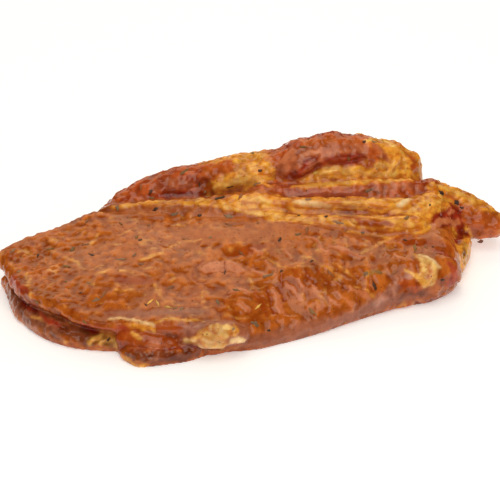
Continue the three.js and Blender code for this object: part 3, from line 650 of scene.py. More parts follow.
        (246, 343, 4), (262, 341, 6), (280, 337, 8), (300, 332, 9), (318, 327, 7), (340, 320, 6),
        (358, 314, 8), (380, 304, 8), (402, 298, 6), (425, 294, 4),
    ]),
    # Painted reflection of the table on the wall's shoulder
    "wall shoulder": ("painted lilac sheen", [(376, 303, 4), (384, 296, 5), (394, 288, 5), (404, 280, 4.4), (412, 275, 3)]),
    "wall brown": ("dusk", [(400, 298, 3.4), (408, 292, 4.4), (416, 288, 4), (421, 295, 3)]),
    "green paste": ("olive", [(366, 274, 2.6), (372, 271, 3), (379, 271, 2.4)]),
    "thread a": ("thread", [(142, 260, 2), (148, 258, 2.6), (154, 256, 2.4), (160, 254, 1.6)]),
    "thread b": ("thread", [(166, 249, 1.2), (177, 243, 1.6), (191, 241, 1.8), (202, 239, 1.2)]),
    "thread c": ("thread", [(64, 257, 1.4), (72, 259, 2), (78, 263, 2), (84, 269, 1.4)]),
    "thread d": ("thread", [(96, 274, 2.4), (103, 272, 3), (110, 270, 2)]),
    "thread e": ("thread", [(122, 271, 1.8), (127, 270, 2.4), (133, 271, 2)]),
    "thread f": ("thread", [(88, 245, 2.4), (93, 241, 3), (98, 234, 2.2)]),
    "thread g": ("thread", [(155, 284, 1.6), (157, 292, 2), (161, 298, 1.6), (170, 304, 1.4), (181, 305, 1)]),
    "thread h": ("thread", [(172, 225, 1.2), (178, 224, 2), (185, 225, 1.2)]),
    "thread i": ("thread", [(268, 258, 1.2), (276, 263, 1.8), (284, 267, 1.4), (296, 268, 1)]),
    "thread j": ("thread", [
        (300, 256, 1.4), (310, 258, 1.8), (320, 264, 1.4), (330, 270, 1.8), (340, 277, 1.4),
    ]),
    "thread k": ("thread", [(333, 262, 1), (342, 270, 1.6), (352, 276, 1.4), (362, 282, 1)]),
    "thread l": ("thread", [(362, 252, 1.6), (370, 248, 2.4), (380, 243, 2.2), (390, 237, 1.8)]),
    "thread m": ("thread", [(318, 292, 1), (323, 298, 1.4), (327, 306, 1)]),
    "thread n": ("thread", [(18, 252, 2), (24, 250, 2.6), (30, 254, 1.6)]),
    "thread o": ("thread", [(26, 274, 2.4), (30, 281, 2.4), (27, 290, 2.6), (31, 297, 2)]),
    "thread p": ("thread", [(196, 304, 1.6), (205, 302, 2), (203, 293, 1.6), (210, 292, 1.4)]),
    "thread q": ("thread", [(120, 235, 1.4), (128, 231, 1.8), (136, 228, 1.2)]),
    "thread r": ("thread", [(355, 285, 1), (366, 290, 1.6), (374, 298, 1.4)]),
    "thread s": ("thread", [(248, 277, 1.4), (252, 282, 2), (250, 288, 1.4)]),
    "thread t": ("thread", [(48, 270, 1.4), (56, 272, 1.8), (62, 277, 1.2)]),
    "thread u": ("thread", [(112, 288, 1.2), (122, 291, 1.6), (134, 290, 1.2)]),
    "lobe red": ("pink", [(434, 250, 4), (446, 254, 5), (456, 261, 4)]),
    "lobe brown": ("ember", [(402, 282, 4), (409, 286, 5), (416, 288, 4)]),
    "lobe fat": ("curd", [
        (416, 254, 3), (423, 258, 6.6), (428, 264, 9), (430, 271, 9.4), (428, 278, 8), (425, 283, 4.6),
    ]),
    "lobe white": ("palefat", [
        (404, 270, 1.6), (411, 273, 2.4), (418, 275, 3), (422, 280, 3), (426, 284, 2.4),
    ]),
    "lobe white b": ("tendon", [(420, 254, 2), (427, 257, 2.6), (433, 262, 2.8), (438, 267, 2)]),
    "lobe orange": ("ember", [(423, 264, 1.4), (429, 268, 2.2), (431, 273, 2.2), (428, 278, 1.6)]),
    "lobe orange b": ("ember", [(411, 259, 2), (415, 263, 2.4), (412, 266, 1.8)]),
    "lobe right": ("pink", [(449, 263, 4), (455, 270, 5), (455, 278, 5), (449, 284, 4)]),
    "lip gloss": ("pink", [(12, 279, 4), (18, 286, 5), (25, 292, 4)]),
    # Painted shadow along the lip's edge, where it meets the lower leaf
    "lip rim": ("slit shadow", [
        (14, 291, 1.2), (22, 297, 1.6), (31, 303, 1.6), (44, 309, 1.4), (58, 314, 1.6), (70, 320, 1.8),
    ]),
    "lip under": ("pink", [(82, 324, 3), (94, 327, 3), (106, 329, 3), (118, 329, 2.8), (126, 329, 2.2)]),
    # Painted shadow in the gap under the lip
    "slit shadow": ("slit shadow", [(68, 320, 2), (78, 325, 3.4), (89, 330, 4), (100, 333, 2.4)]),
    "lip fat": ("tendon", [
        (110, 319, 1.6), (120, 319, 2.2), (132, 320, 2.4), (142, 322, 2.6), (152, 325, 2),
    ]),
    "lip fat low": ("fat", [(126, 325, 2), (136, 326, 3), (146, 328, 3), (153, 331, 2)]),
    "lip fat 2": ("palefat", [
        (155, 323, 1.2), (164, 321, 1.2), (176, 320, 1.2), (186, 319, 1.4), (196, 320, 1.4),
        (205, 321, 1.4),
    ]),
    "lip hollow": ("ember", [(160, 329, 4), (168, 329, 5), (177, 331, 5)]),
    # Painted reflection of the table beside the hollow
    "painted lilac sheen": ("painted lilac sheen", [(186, 331, 4), (193, 330, 4.4), (200, 327, 2.6)]),
    "lilac 2": ("painted lilac sheen", [(166, 333, 1.6), (170, 334, 2.4), (174, 335, 1.6)]),
    "knob": ("curd", [(184, 342, 3), (191, 341, 4.4), (199, 341, 4.6)]),
    "knob main": ("curd", [(206, 335, 7), (214, 331, 8), (223, 331, 8), (231, 332, 5.4)]),
    "knob low": ("curd", [(205, 344, 4), (214, 345, 3.6), (224, 344, 4)]),
    "knob end": ("tendon", [(231, 341, 2.4), (237, 341, 4), (242, 341, 2.4)]),
    "knob foot": ("tendon", [(199, 345, 1.8), (205, 348, 2), (213, 347, 2.4), (222, 347, 2)]),
    "knob white": ("tendon", [(184, 341, 1.6), (190, 340, 2), (195, 341, 1.4)]),
    "knob white b": ("tendon", [(205, 339, 1.4), (211, 341, 2), (216, 341, 1.2)]),
    "knob orange": ("ember", [(206, 329, 1), (212, 331, 1.4), (216, 335, 1)]),
    "knob crack": ("ember", [(200, 345, 0.6), (200, 339, 0.8), (203, 332, 0.8), (207, 326, 0.6)]),
    "knob crack b": ("ember", [(228, 338, 0.6), (231, 334, 0.8), (230, 328, 0.6)]),
    "knob crack c": ("fat", [(213, 342, 0.7), (219, 339, 0.8), (226, 340, 0.7)]),
    "knob brown": ("fat", [(235, 326, 1.6), (238, 331, 2), (235, 336, 1.4)]),
    # Painted reflection of the table along the lower leaf's edge
    "lower leaf edge": ("painted lilac sheen", [(8, 284, 3), (10, 296, 4), (16, 308, 4), (25, 320, 4), (36, 328, 3)]),
    "lower leaf left": ("brown", [(14, 292, 3), (20, 302, 5), (30, 314, 7), (44, 324, 8), (58, 332, 8)]),
    # Painted sheen on the lower leaf
    "leaf gloss": ("purple", [(40, 314, 3), (48, 320, 4), (56, 324, 3.4)]),
    "lower leaf red": ("crimson", [(22, 300, 3), (28, 306, 4), (36, 311, 3)]),
    "lower leaf mid": ("dusk", [(48, 316, 4), (62, 325, 7), (76, 333, 7.6), (88, 340, 6)]),
    "leaf dark a": ("crimson", [(38, 313, 1.6), (50, 322, 2.4), (60, 327, 2)]),
    "leaf dark b": ("dusk", [(66, 333, 1.6), (80, 338, 2.4), (92, 343, 2)]),
    "leaf spot a": ("thread", [(33, 316, 1.4), (37, 318, 2), (41, 321, 1.2)]),
    "leaf spot b": ("thread", [(62, 340, 1.4), (67, 342, 2), (71, 343, 1.2)]),
    "herby fat": ("olive", [(90, 341, 4), (97, 338, 5), (106, 340, 6), (115, 342, 5)]),
    "herby light": ("palefat", [(92, 339, 2.4), (97, 337, 2.6), (101, 336, 1.6)]),
    "lower lobe": ("ember", [(122, 337, 5), (132, 338, 7), (144, 342, 7), (156, 345, 6)]),
    "lobe spot": ("palefat", [(131, 334, 1.6), (137, 336, 2.6), (141, 339, 1.8)]),
    # Painted sheen on the lower lobe's end
    "lobe end": ("purple", [(148, 345, 3.4), (158, 346, 4.6), (167, 346, 3.4)]),
    "lobe shade": ("slit shadow", [
        (120, 349, 1.2), (132, 351, 1.4), (146, 353, 1.6), (160, 352, 1.4), (172, 349, 1.4), (184, 346, 2),
        (198, 348, 1.6),
    ]),
    "flap red": ("dusk", [(128, 355, 3), (146, 358, 5.4), (162, 358, 5.4), (180, 356, 5.4), (196, 353, 4.4)]),
    # Painted reflection of the table on the flap
    "flap gloss": ("painted lilac sheen", [(151, 359, 1.2), (156, 358, 1)]),
    "flap fat": ("fat", [(121, 355, 2.6), (126, 361, 4), (136, 365, 4.6), (144, 365, 3.4)]),
    "flap light": ("tendon", [(136, 366, 1.6), (141, 367, 1.8)]),
    "tab": ("ember", [(211, 353, 2.4), (218, 353, 2.4)]),
}


def noise(name, p):
    seed, size = NOISES[name]
    return Noise(seed)(p, size)


def turning_noise(name, p, turned):
    """The noise of the face where turned is 0 and of the shoulder where it is 1."""
    (seed, size), (shoulder_seed, shoulder_size) = TURNING_NOISES[name]
    return mix(Noise(seed)(p, size), Noise(shoulder_seed)(p, shoulder_size), turned)


def bend(seed_and_size, p):
    """A smooth direction at each of the points p."""
    seed, size = seed_and_size
    return np.stack([Noise(seed + k)(p, size) for k in range(3)], 1)


def turned_share(p):
    """1 on the shoulder, where the grain runs to the front, and 0 on the face."""
    return ease(*TURN_X, p[:, 0]) * (1 - ease(*TURN_Y, p[:, 1]))


def painted(p, view, tops):
    """The colour, shine, rise and grain of the meat at the points p. The tops are 1 there and -1 in valleys;
    the paint is lighter on them, a painted highlight.
    """
    wide = bend(WIDE_BEND, p)
    fine = bend(FINE_BEND, p)
    q = p + mix(BORDER_SHIFT, BACK_BORDER_SHIFT, ease(*BACK_WALL, p[:, 1:2])) * wide + FINE_SHIFT * fine
    low = noise("tone", p)
    turned = turned_share(p)
    streak = turning_noise("streaks", q, turned)
    golden = turning_noise("golden", q, turned)
    lines = 1 - ease(*LINE_FADE, np.abs(noise("lines", p + wide) + LINE_SWAY * tops))
    web = 1 - ease(*WEB_FADE, np.abs(noise("web", p + WEB_SHIFT * wide)))
    broken = mix(BREAK_SHARE, 1, ease(*BREAK_FADE, noise("breaks", p)))
    web = np.maximum(web * ease(*WEB_PLACES, noise("web places", p)), ease(*GOLDEN_FADE, golden)) * broken
    tint = shine = rise = grain = None
    forms = [(name, np.array(spine) + (0, 0, 0, FORM_MARGIN)) for name, spine in FORM_FINISHES]
    strokes = [(name, view.spine(stroke)) for name, stroke in STROKES.values()]
    for name, spine in [("face", None), *forms, *strokes]:
        finish = FINISHES[name]
        tone = 0.5 + finish.tone[0] * low + finish.tone[1] * streak + finish.tone[2] * tops
        shade = mix(finish.dark, finish.light, np.clip(tone, 0, 1)[:, None])
        if finish.vein is not None:
            shade = mix(shade, finish.vein, LINE_SHARE * lines[:, None])
        if spine is None:
            tint = mix(shade, FINISHES["thread"].light, WEB_SHARE * web[:, None])
            shine, rise, grain = (np.full(len(p), v) for v in (finish.shine, finish.rise, finish.grain))
            continue
        share = 1 - ease(-finish.soft, finish.soft, cord(spine, q))
        if name == "thread":
            share *= broken
        tint = mix(tint, shade, share[:, None])
        shine, rise, grain = (
            mix(a, b, share) for a, b in ((shine, finish.shine), (rise, finish.rise), (grain, finish.grain))
        )
    return tint, shine, rise, grain


def relief(p):
    """The wet surface's height in mm, and its plates and its film, from -1 in valleys to 1 on tops."""
    turned = turned_share(p)
    bent = p + RELIEF_SHIFT * bend(RELIEF_BEND, p)
    plates = np.tanh(PLATE_SHARPNESS * turning_noise("plates", bent, turned))
    beads = np.tanh(BEAD_SHARPNESS * turning_noise("beads", bent, turned))
    edge = FILM_EDGE * noise("film edge", bent)
    film = np.tanh(FILM_SHARPNESS * (turning_noise("film", bent, turned) + edge))
    lively = mix(mix(*CALM_SHARES, turned), 1, ease(*CALM_FADE, noise("calm", p)))
    sides = zip((RAGGED_LEFT, RAGGED_BACK, RAGGED_FOOT), p.T)
    ragged = np.maximum.reduce([ease(*fade, along) for fade, along in sides])
    small = mix(*BEAD_HEIGHTS, turned) * beads + PORE_HEIGHT * noise("pores", p) + FILM_HEIGHT * film
    height = mix(*PLATE_HEIGHTS, turned) * plates + lively * small + WAVE_HEIGHT * noise("waves", p)
    rough = CRAG_HEIGHT * noise("crags", p) + CRAG_HEIGHT * noise("crumbs", p)
    return height + ragged * rough, plates, film


def neighbour_mean(points, edges):
    """The mean of each point's neighbours."""
    total, count = np.zeros_like(points), np.zeros(len(points))
    for a, b in ((0, 1), (1, 0)):
        for axis in range(3):
            total[:, axis] += np.bincount(edges[:, a], points[edges[:, b], axis], len(points))
        count += np.bincount(edges[:, a], minlength=len(points))
    return total / np.maximum(count, 1)[:, None]


def mesh_points(mesh):
    points = np.zeros(len(mesh.vertices) * 3)
    mesh.vertices.foreach_get("co", points)
    return points.reshape(-1, 3)


def move_points(mesh, points):
    mesh.vertices.foreach_set("co", points.astype(np.float32).ravel())
    mesh.update()


def mesh_normals(mesh):
    normals = np.zeros(len(mesh.vertices) * 3)
    mesh.vertex_normals.foreach_get("vector", normals)
    return normals.reshape(-1, 3)


def remeshed(mesh, pitch):
    """The mesh drawn again in even squares."""
    worker = bpy.data.objects.new("worker", mesh)
    bpy.context.scene.collection.objects.link(worker)
    remesh = worker.modifiers.new("even squares", "REMESH")
    remesh.mode = "VOXEL"
    remesh.voxel_size = pitch
    result = bpy.data.meshes.new_from_object(worker.evaluated_get(bpy.context.evaluated_depsgraph_get()))
    bpy.data.objects.remove(worker)
    return result


SETTLE_ROUNDS = 6
SETTLE_FOOT = (0.2, 1.2)  # from where to where above the foot points may move, mm
EVEN_SHARE = 0.5  # how far a point moves to the middle of its neighbours in a round
LONGEST_STEP = 0.8  # mm
FLATTEST_SLOPE = 0.3  # of the field, squared


def settled(mesh, rounds):
    """Brings the mesh's points onto the meat's form, evenly spread. The foot stays flat."""
    edges = np.zeros(len(mesh.edges) * 2, int)
    mesh.edges.foreach_get("vertices", edges)
    edges = edges.reshape(-1, 2)
    for _ in range(rounds):
        points = mesh_points(mesh)
        normals = mesh_normals(mesh)
        loose = ease(*SETTLE_FOOT, points[:, 2:] / MM)
        drift = neighbour_mean(points, edges) - points
        drift -= np.einsum("ij,ij->i", drift, normals)[:, None] * normals
        p = (points + EVEN_SHARE * drift * loose) / MM - SHIFT
        value = meat_field(p)
        rise = slope(p, value)
        step = -value / np.maximum(np.einsum("ij,ij->i", rise, rise), FLATTEST_SLOPE)
        p += np.clip(step, -LONGEST_STEP, LONGEST_STEP)[:, None] * rise * loose
        points = (p + SHIFT) * MM
        points[:, 2] = np.maximum(points[:, 2], 0)
        move_points(mesh, points)


FOOT_LEVEL = 0.02  # the foot's points lie lower than this, mm


def fewer_foot_faces(mesh):
    """Draws the flat foot, which nobody sees, with the fewest faces, so that the rest can be finer."""
    shape = bmesh.new()
    shape.from_mesh(mesh)
    foot = [face for face in shape.faces if all(v.co.z < FOOT_LEVEL * MM for v in face.verts)]
    bmesh.ops.delete(shape, geom=foot, context="FACES")
    rim = [edge for edge in shape.edges if edge.is_boundary]
    bmesh.ops.triangle_fill(shape, edges=rim, normal=(0, 0, -1))
    shape.to_mesh(mesh)
    shape.free()


def set_attribute(mesh, name, kind, values):
    attribute = mesh.attributes.new(name, kind, "POINT")
    field = "color" if kind == "FLOAT_COLOR" else "vector" if kind == "FLOAT_VECTOR" else "value"
    attribute.data.foreach_set(field, np.asarray(values, np.float32).ravel())


def with_alpha(tint):
    return np.concatenate([tint, np.ones((len(tint), 1))], axis=1)


def new_piece(name, mesh, material, body="root"):
    """An object for the mesh that rides on the CAD body."""
    piece = bpy.data.objects.new(name, mesh)
    bpy.context.scene.collection.objects.link(piece)
    if material:
        mesh.materials.clear()
        mesh.materials.append(material)
    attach(piece, body)
    return piece


def add_node(tree, kind, values=(), **settings):
    """A new node with its settings and the values of its unlinked inputs."""
    made = tree.nodes.new(kind)
    for name, value in settings.items():
        setattr(made, name, value)
    for key, value in dict(values).items():
        made.inputs[key].default_value = value
    made.location = (len(tree.nodes) % 8 * 190, -(len(tree.nodes) // 8) * 260)
    return made


def new_group(name, kind, inputs, outputs):
    """A node group with its sockets, and its input and output nodes."""
    tree = bpy.data.node_groups.new(name, kind)
    for direction, sockets in (("INPUT", inputs), ("OUTPUT", outputs)):
        for label, socket, *default in sockets:
            made = tree.interface.new_socket(label, in_out=direction, socket_type="NodeSocket" + socket)
            if default:
                made.default_value = default[0]
    return tree, add_node(tree, "NodeGroupInput"), add_node(tree, "NodeGroupOutput")


def math_node(tree, operation, a, b=0.0, clamp=False):
    """A Math node whose inputs are sockets or numbers. Returns its output."""
    made = add_node(tree, "ShaderNodeMath", operation=operation, use_clamp=clamp)
    for i, value in enumerate((a, b)):
        if isinstance(value, (int, float)):
            made.inputs[i].default_value = value
        else:
            tree.links.new(value, made.inputs[i])
    return made.outputs[0]


def mix_node(tree, kind, factor, a, b):
    """A Mix node of floats or colours whose inputs are sockets or values. Returns its output."""
    made = add_node(tree, "ShaderNodeMix", data_type={"Float": "FLOAT", "Color": "RGBA"}[kind])
    ends = {socket.identifier: socket for socket in (*made.inputs, *made.outputs)}
    for label, value in (("Factor_Float", factor), ("A_" + kind, a), ("B_" + kind, b)):
        if isinstance(value, bpy.types.NodeSocket):
            tree.links.new(value, ends[label])
        else:
            ends[label].default_value = value
    return ends["Result_" + kind]


def fine_grain_group():
    """Grain too fine for the mesh: soft bumps, pits and dark grains of spice."""
    tree, given, result = new_group(
        "Fine Grain",
        "ShaderNodeTree",
        [("Size", "Float", 0.001)],
        [("Mottle", "Float"), ("Grains", "Float")],
    )
    link = tree.links.new
    place = add_node(tree, "ShaderNodeTexCoord")
    drawn = add_node(tree, "ShaderNodeVectorMath", {1: (1.0, 0.5, 1.0)}, operation="MULTIPLY")
    link(place.outputs["Object"], drawn.inputs[0])
    pitch = math_node(tree, "DIVIDE", 1.0, given.outputs["Size"])
    layers = []
    for share in (1, 2.6):
        noise = add_node(tree, "ShaderNodeTexNoise", {"Detail": 2.0, "Roughness": 0.55})
        link(drawn.outputs[0], noise.inputs["Vector"])
        link(math_node(tree, "MULTIPLY", pitch, share), noise.inputs["Scale"])
        layers.append(noise.outputs[0])
    broad = math_node(tree, "MULTIPLY", layers[0], 0.7)
    height = math_node(tree, "ADD", broad, math_node(tree, "MULTIPLY", layers[1], 0.3))
    link(math_node(tree, "SUBTRACT", height, 0.5), result.inputs["Mottle"])
    cells = add_node(tree, "ShaderNodeTexVoronoi")
    link(place.outputs["Object"], cells.inputs["Vector"])
    link(math_node(tree, "MULTIPLY", pitch, 0.62), cells.inputs["Scale"])
    chosen = add_node(tree, "ShaderNodeSeparateColor")
    link(cells.outputs["Color"], chosen.inputs[0])
    reach = math_node(tree, "MULTIPLY", chosen.outputs[1], 0.2)
    small = math_node(tree, "LESS_THAN", cells.outputs["Distance"], reach)
    rare = math_node(tree, "LESS_THAN", chosen.outputs[0], 0.2)
    link(math_node(tree, "MULTIPLY", small, rare), result.inputs["Grains"])
    return tree


SPICE_BROWN = colour(84, 34, 12)


def wet_material(name, grain_group, grain_size, mottle, grains, bump_depth, shine=None, soft=0.0):
    """A wet material whose colour comes from the piece's tint attribute. Without a shine of its own it takes
    the roughness and the depth of its grain from the piece's attributes too."""
    material = bpy.data.materials.new(name)
    material.use_nodes = True
    tree = material.node_tree
    link = tree.links.new
    skin = tree.nodes["Principled BSDF"]
    skin.inputs["IOR"].default_value = 1.45
    skin.inputs["Roughness"].default_value = 0.3
    if soft:
        skin.inputs["Subsurface Weight"].default_value = soft
        skin.inputs["Subsurface Radius"].default_value = (1.0, 0.35, 0.15)
        skin.inputs["Subsurface Scale"].default_value = 0.002
    tint = add_node(tree, "ShaderNodeAttribute", attribute_name="tint")
    grain = add_node(tree, "ShaderNodeGroup", node_tree=grain_group)
    grain.inputs["Size"].default_value = grain_size
    factor = math_node(tree, "ADD", math_node(tree, "MULTIPLY", grain.outputs["Mottle"], mottle), 1.0)
    mottled = add_node(tree, "ShaderNodeVectorMath", operation="SCALE")
    link(tint.outputs["Color"], mottled.inputs[0])
    link(factor, mottled.inputs["Scale"])
    share = math_node(tree, "MULTIPLY", grain.outputs["Grains"], grains)
    dotted = mix_node(tree, "Color", share, mottled.outputs[0], (*SPICE_BROWN, 1))
    link(dotted, skin.inputs["Base Color"])
    bump = add_node(tree, "ShaderNodeBump", {"Strength": 1.0, "Distance": bump_depth})
    height = grain.outputs["Mottle"]
    if shine is None:
        shine = add_node(tree, "ShaderNodeAttribute", attribute_name="shine").outputs["Fac"]
        depth = add_node(tree, "ShaderNodeAttribute", attribute_name="depth").outputs["Fac"]
        height = math_node(tree, "MULTIPLY", height, depth)
    link(height, bump.inputs["Height"])
    link(bump.outputs[0], skin.inputs["Normal"])
    spread = math_node(tree, "MULTIPLY", grain.outputs["Mottle"], 0.15)
    link(math_node(tree, "ADD", shine, spread, clamp=True), skin.inputs["Roughness"])
    return material


# Herbs that stand out, in pixels of the drawing view: (across, down, turn in degrees, length, width, kind)
HERBS = (
    (155.5, 209.3, 20, 8, 3, "dark"), (199.4, 215.5, 10, 5, 3, "dark"), (228.5, 216.4, -20, 14, 4, "grey"),
    (121, 224, -50, 5.5, 2, "olive"), (140, 240, 20, 4.5, 2.5, "dark"), (72.6, 249.4, 60, 6, 3.5, "olive"),
    (91.7, 255, -25, 9, 2.5, "dark"), (122, 259.3, 3, 12, 2.6, "grey"), (134.4, 255, 45, 7, 2.2, "grey"),
    (38.3, 255, 70, 5, 2.2, "dark"), (19, 271.3, 30, 4.5, 2.6, "grey"), (65.7, 281.7, -10, 4.5, 2.6, "olive"),
    (88.5, 283, -20, 5, 2.4, "grey"), (80.5, 293, 10, 3.5, 2, "dark"), (96.5, 300, 10, 9, 4, "grey"),
    (150, 302, 40, 9, 1.8, "straw"), (157.5, 303, -60, 7, 1.6, "straw"), (146, 305, -45, 4.5, 1.8, "dark"),
    (168, 307, -10, 8, 2.2, "straw"), (175, 308.5, 15, 5, 2.4, "olive"), (225, 271.8, 70, 6, 1.3, "dark"),
    (210.5, 237.5, 10, 5, 3, "grey"), (84.5, 322, -40, 6, 2, "olive"), (108.5, 339.5, 50, 4.5, 2, "dark"),
    (233.6, 329, 40, 4.5, 2, "grey"), (36.7, 302, -20, 4.5, 2.4, "olive"), (279.8, 239.7, 60, 6, 2.6, "dark"),
    (298, 234.4, 10, 7, 3, "olive"), (337.8, 222.5, -12, 16, 2.4, "grey"),
    (362.7, 232.8, -10, 5.5, 2.6, "grey"), (298.9, 215.4, 10, 4.5, 2.2, "dark"),
    (326.2, 216.5, 5, 5, 2.2, "dark"), (312, 261, 20, 5.5, 2, "dark"), (281.5, 271, 30, 4.5, 2.4, "dark"),
    (268.2, 275.4, 15, 13, 2.6, "grey"), (258.2, 306.6, 40, 8.5, 1.7, "straw"),
    (255.8, 322.7, 20, 4.5, 3.2, "grey"), (269, 330.6, -20, 4.5, 2.4, "dark"),
    (374.3, 285.8, -75, 13, 3, "dark"), (379.3, 272.6, -20, 9, 3.4, "olive"),
    (366, 274, 50, 7.5, 3.6, "grey"), (415, 247.7, 80, 10, 3, "olive"), (433, 246.9, 0, 3.6, 2, "dark"),
    (442.3, 280, -5, 7, 2, "dark"), (441.5, 193, -45, 8.5, 4, "dark"), (456.5, 202.5, -45, 9.5, 4, "dark"),
    (462, 208, -40, 5, 2.6, "dark"), (368.5, 190.5, 15, 9, 2.4, "grey"), (348.6, 159, -80, 7, 2, "olive"),
    (315.5, 173, 15, 8.5, 2.4, "straw"), (260, 170.6, 10, 4.5, 2.4, "dark"),
    (364.4, 141.6, 20, 5, 2.6, "dark"), (219.9, 197.8, 15, 14, 4, "dark"), (151, 191.5, 45, 7, 2.8, "dark"),
    (152, 198, 0, 6, 2, "olive"), (199.6, 184.4, 85, 12, 1.3, "dark"), (205, 192, 50, 5, 1.8, "grey"),
    (230, 187, 15, 9, 1.2, "dark"), (174, 214.4, 15, 8.5, 3, "grey"), (256.6, 183.9, 10, 8, 3, "grey"),
    (430, 205, 60, 4, 1.6, "dark"), (405, 240, -30, 4, 2, "dark"), (480.5, 241.5, 35, 6, 4.4, "brown"),
)
LONGEST_STRETCH = 1.8  # how much longer than it looks a herb that points away may be
# The even scatter of smaller herbs, by the rule and the numbers that the CAD solid uses
HERB_COUNT, HERB_SEED, HERB_EDGE = 40, 11, 3
HERB_LONGEST, HERB_SHORTEST, HERB_WIDTH = 5.2, 2.6, 1.1
SCATTER_LOW, SCATTER_HIGH = (-102, -68), (106, 63)
# How the herbs are drawn: the seed, and the sizes in mm
HERB_DRAW_SEED = 7
WIDTH_SHARES, TINT_SHARES = (0.7, 1.2), (0.75, 1.25)
HERB_BREADTH = 1.35  # how much wider than its noted width a flake is, since its ends narrow
HERB_THICKNESS, STRAW_THICKNESS, HERB_LIFT = 0.36, 0.45, 0.05
ABOVE_MEAT = 60
# Dried leaves and a needle: name, corners, raggedness, point, bend and seed
FLAKES = (
    ("leaf a", 9, 0.34, 0.2, -0.12, 1),
    ("leaf b", 8, 0.4, 0.35, -0.08, 2),
    ("leaf c", 11, 0.38, 0.45, -0.15, 3),
    ("needle", 8, 0.12, 0.4, -0.05, 4),
)
NEEDLE = 3  # the needle's place in that list, after the leaves
# Grains of spice: smallest and largest size, mm, and flatness
PEPPER_GRAINS, GRIT_GRAINS = (0.25, 0.62, 0.5), (0.45, 1.0, 0.55)
GRAIN_SHAPES = 4
HERB_TINTS = {
    "dark": colour(76, 44, 22),
    "brown": colour(148, 84, 40),
    "olive": colour(132, 90, 36),
    "grey": colour(142, 104, 70),
    "straw": colour(238, 184, 80),
}


def scattered_herbs():
    """The spots of the even scatter: (x, y, turn in degrees, length)."""
    state = HERB_SEED

    def draw():
        nonlocal state
        state = (state * 1664525 + 1013904223) % 4294967296
        return state / 4294967296

    spots = []
    while len(spots) < HERB_COUNT:
        best = None
        for _ in range(12):
            x, y = (mix(a, b, draw()) for a, b in zip(SCATTER_LOW, SCATTER_HIGH))
            if UPPER_PLAN(np.array([x]), np.array([y]))[0] > -HERB_EDGE:
                continue
            room = min([1000.0, *(math.dist((x, y), spot[:2]) for spot in spots)])
            if best is None or room > best[0]:
                best = (room, x, y)
        if best:
            length = mix(HERB_LONGEST, HERB_SHORTEST, len(spots) / (HERB_COUNT - 1))
            spots.append((best[1], best[2], math.degrees(draw() * math.pi), length))
    return spots


def flake_mesh(name, corners, ragged, point, bend, seed):
    """A dried leaf or stem, one unit long along X, wide along Y and thick along Z."""
    draw = np.random.default_rng(seed)
    turns = np.linspace(0, 2 * math.pi, corners, endpoint=False)
    reach = 1 + ragged * draw.uniform(-1, 1, corners)
    rim = np.stack([0.5 * np.cos(turns) * reach, 0.5 * np.sin(turns) * reach, 0 * turns], 1)
    rim[:, 1] *= 1 - point * np.abs(np.cos(turns))
    points = [rim]
    for side in (0.5, -0.5):
        points.append(rim * (0.62, 0.62, 1) + (0, 0, side))
    points = np.concatenate([*points, [(0, 0, 0.6)], [(0, 0, -0.6)]])
    points[:, 2] += bend * (points[:, 0] ** 2) * 4
    faces = []
    for i in range(corners):
        j = (i + 1) % corners
        faces.append((i, j, corners + j, corners + i))
        faces.append((j, i, 2 * corners + i, 2 * corners + j))
        faces.append((corners + i, corners + j, 3 * corners))
        faces.append((2 * corners + j, 2 * corners + i, 3 * corners + 1))
    mesh = bpy.data.meshes.new(name)
    mesh.from_pydata([tuple(q) for q in points], [], faces)
    return mesh


def speck_mesh(name, seed):
    """A grain of spice, one unit across."""
    shape = bmesh.new()
    bmesh.ops.create_icosphere(shape, subdivisions=1, radius=0.5)
    draw = np.random.default_rng(seed)
    for v in shape.verts:
        v.co *= draw.uniform(0.75, 1.15)
    mesh = bpy.data.meshes.new(name)
    shape.to_mesh(mesh)
    shape.free()
    return mesh


def shelf(name, meshes):
    """A collection outside the scene that holds the shapes to scatter, in the order of their names."""
    collection = bpy.data.collections.new(name)
    for i, mesh in enumerate(meshes):
        collection.objects.link(bpy.data.objects.new(f"{name}_{i}", mesh))
    return collection


def instances_tree(name, inputs):
    """A Geometry Nodes tree with the named inputs, and its input and output nodes."""
    geometry = ("Geometry", "Geometry")
    return new_group(name, "GeometryNodeTree", [geometry, *inputs], [geometry])


def finish_tree(tree, instances, material, result):
    """Ends a tree in plain faces of one material."""
    real = add_node(tree, "GeometryNodeRealizeInstances")
    tree.links.new(instances, real.inputs[0])
    dressed = add_node(tree, "GeometryNodeSetMaterial")
    dressed.inputs["Material"].default_value = material
    tree.links.new(real.outputs[0], dressed.inputs["Geometry"])
    tree.links.new(dressed.outputs[0], result.inputs[0])


def named(tree, kind, name):
    """The value of a named attribute."""
    made = add_node(tree, "GeometryNodeInputNamedAttribute", {"Name": name}, data_type=kind)
    return next(socket for socket in made.outputs if socket.enabled and socket.name == "Attribute")


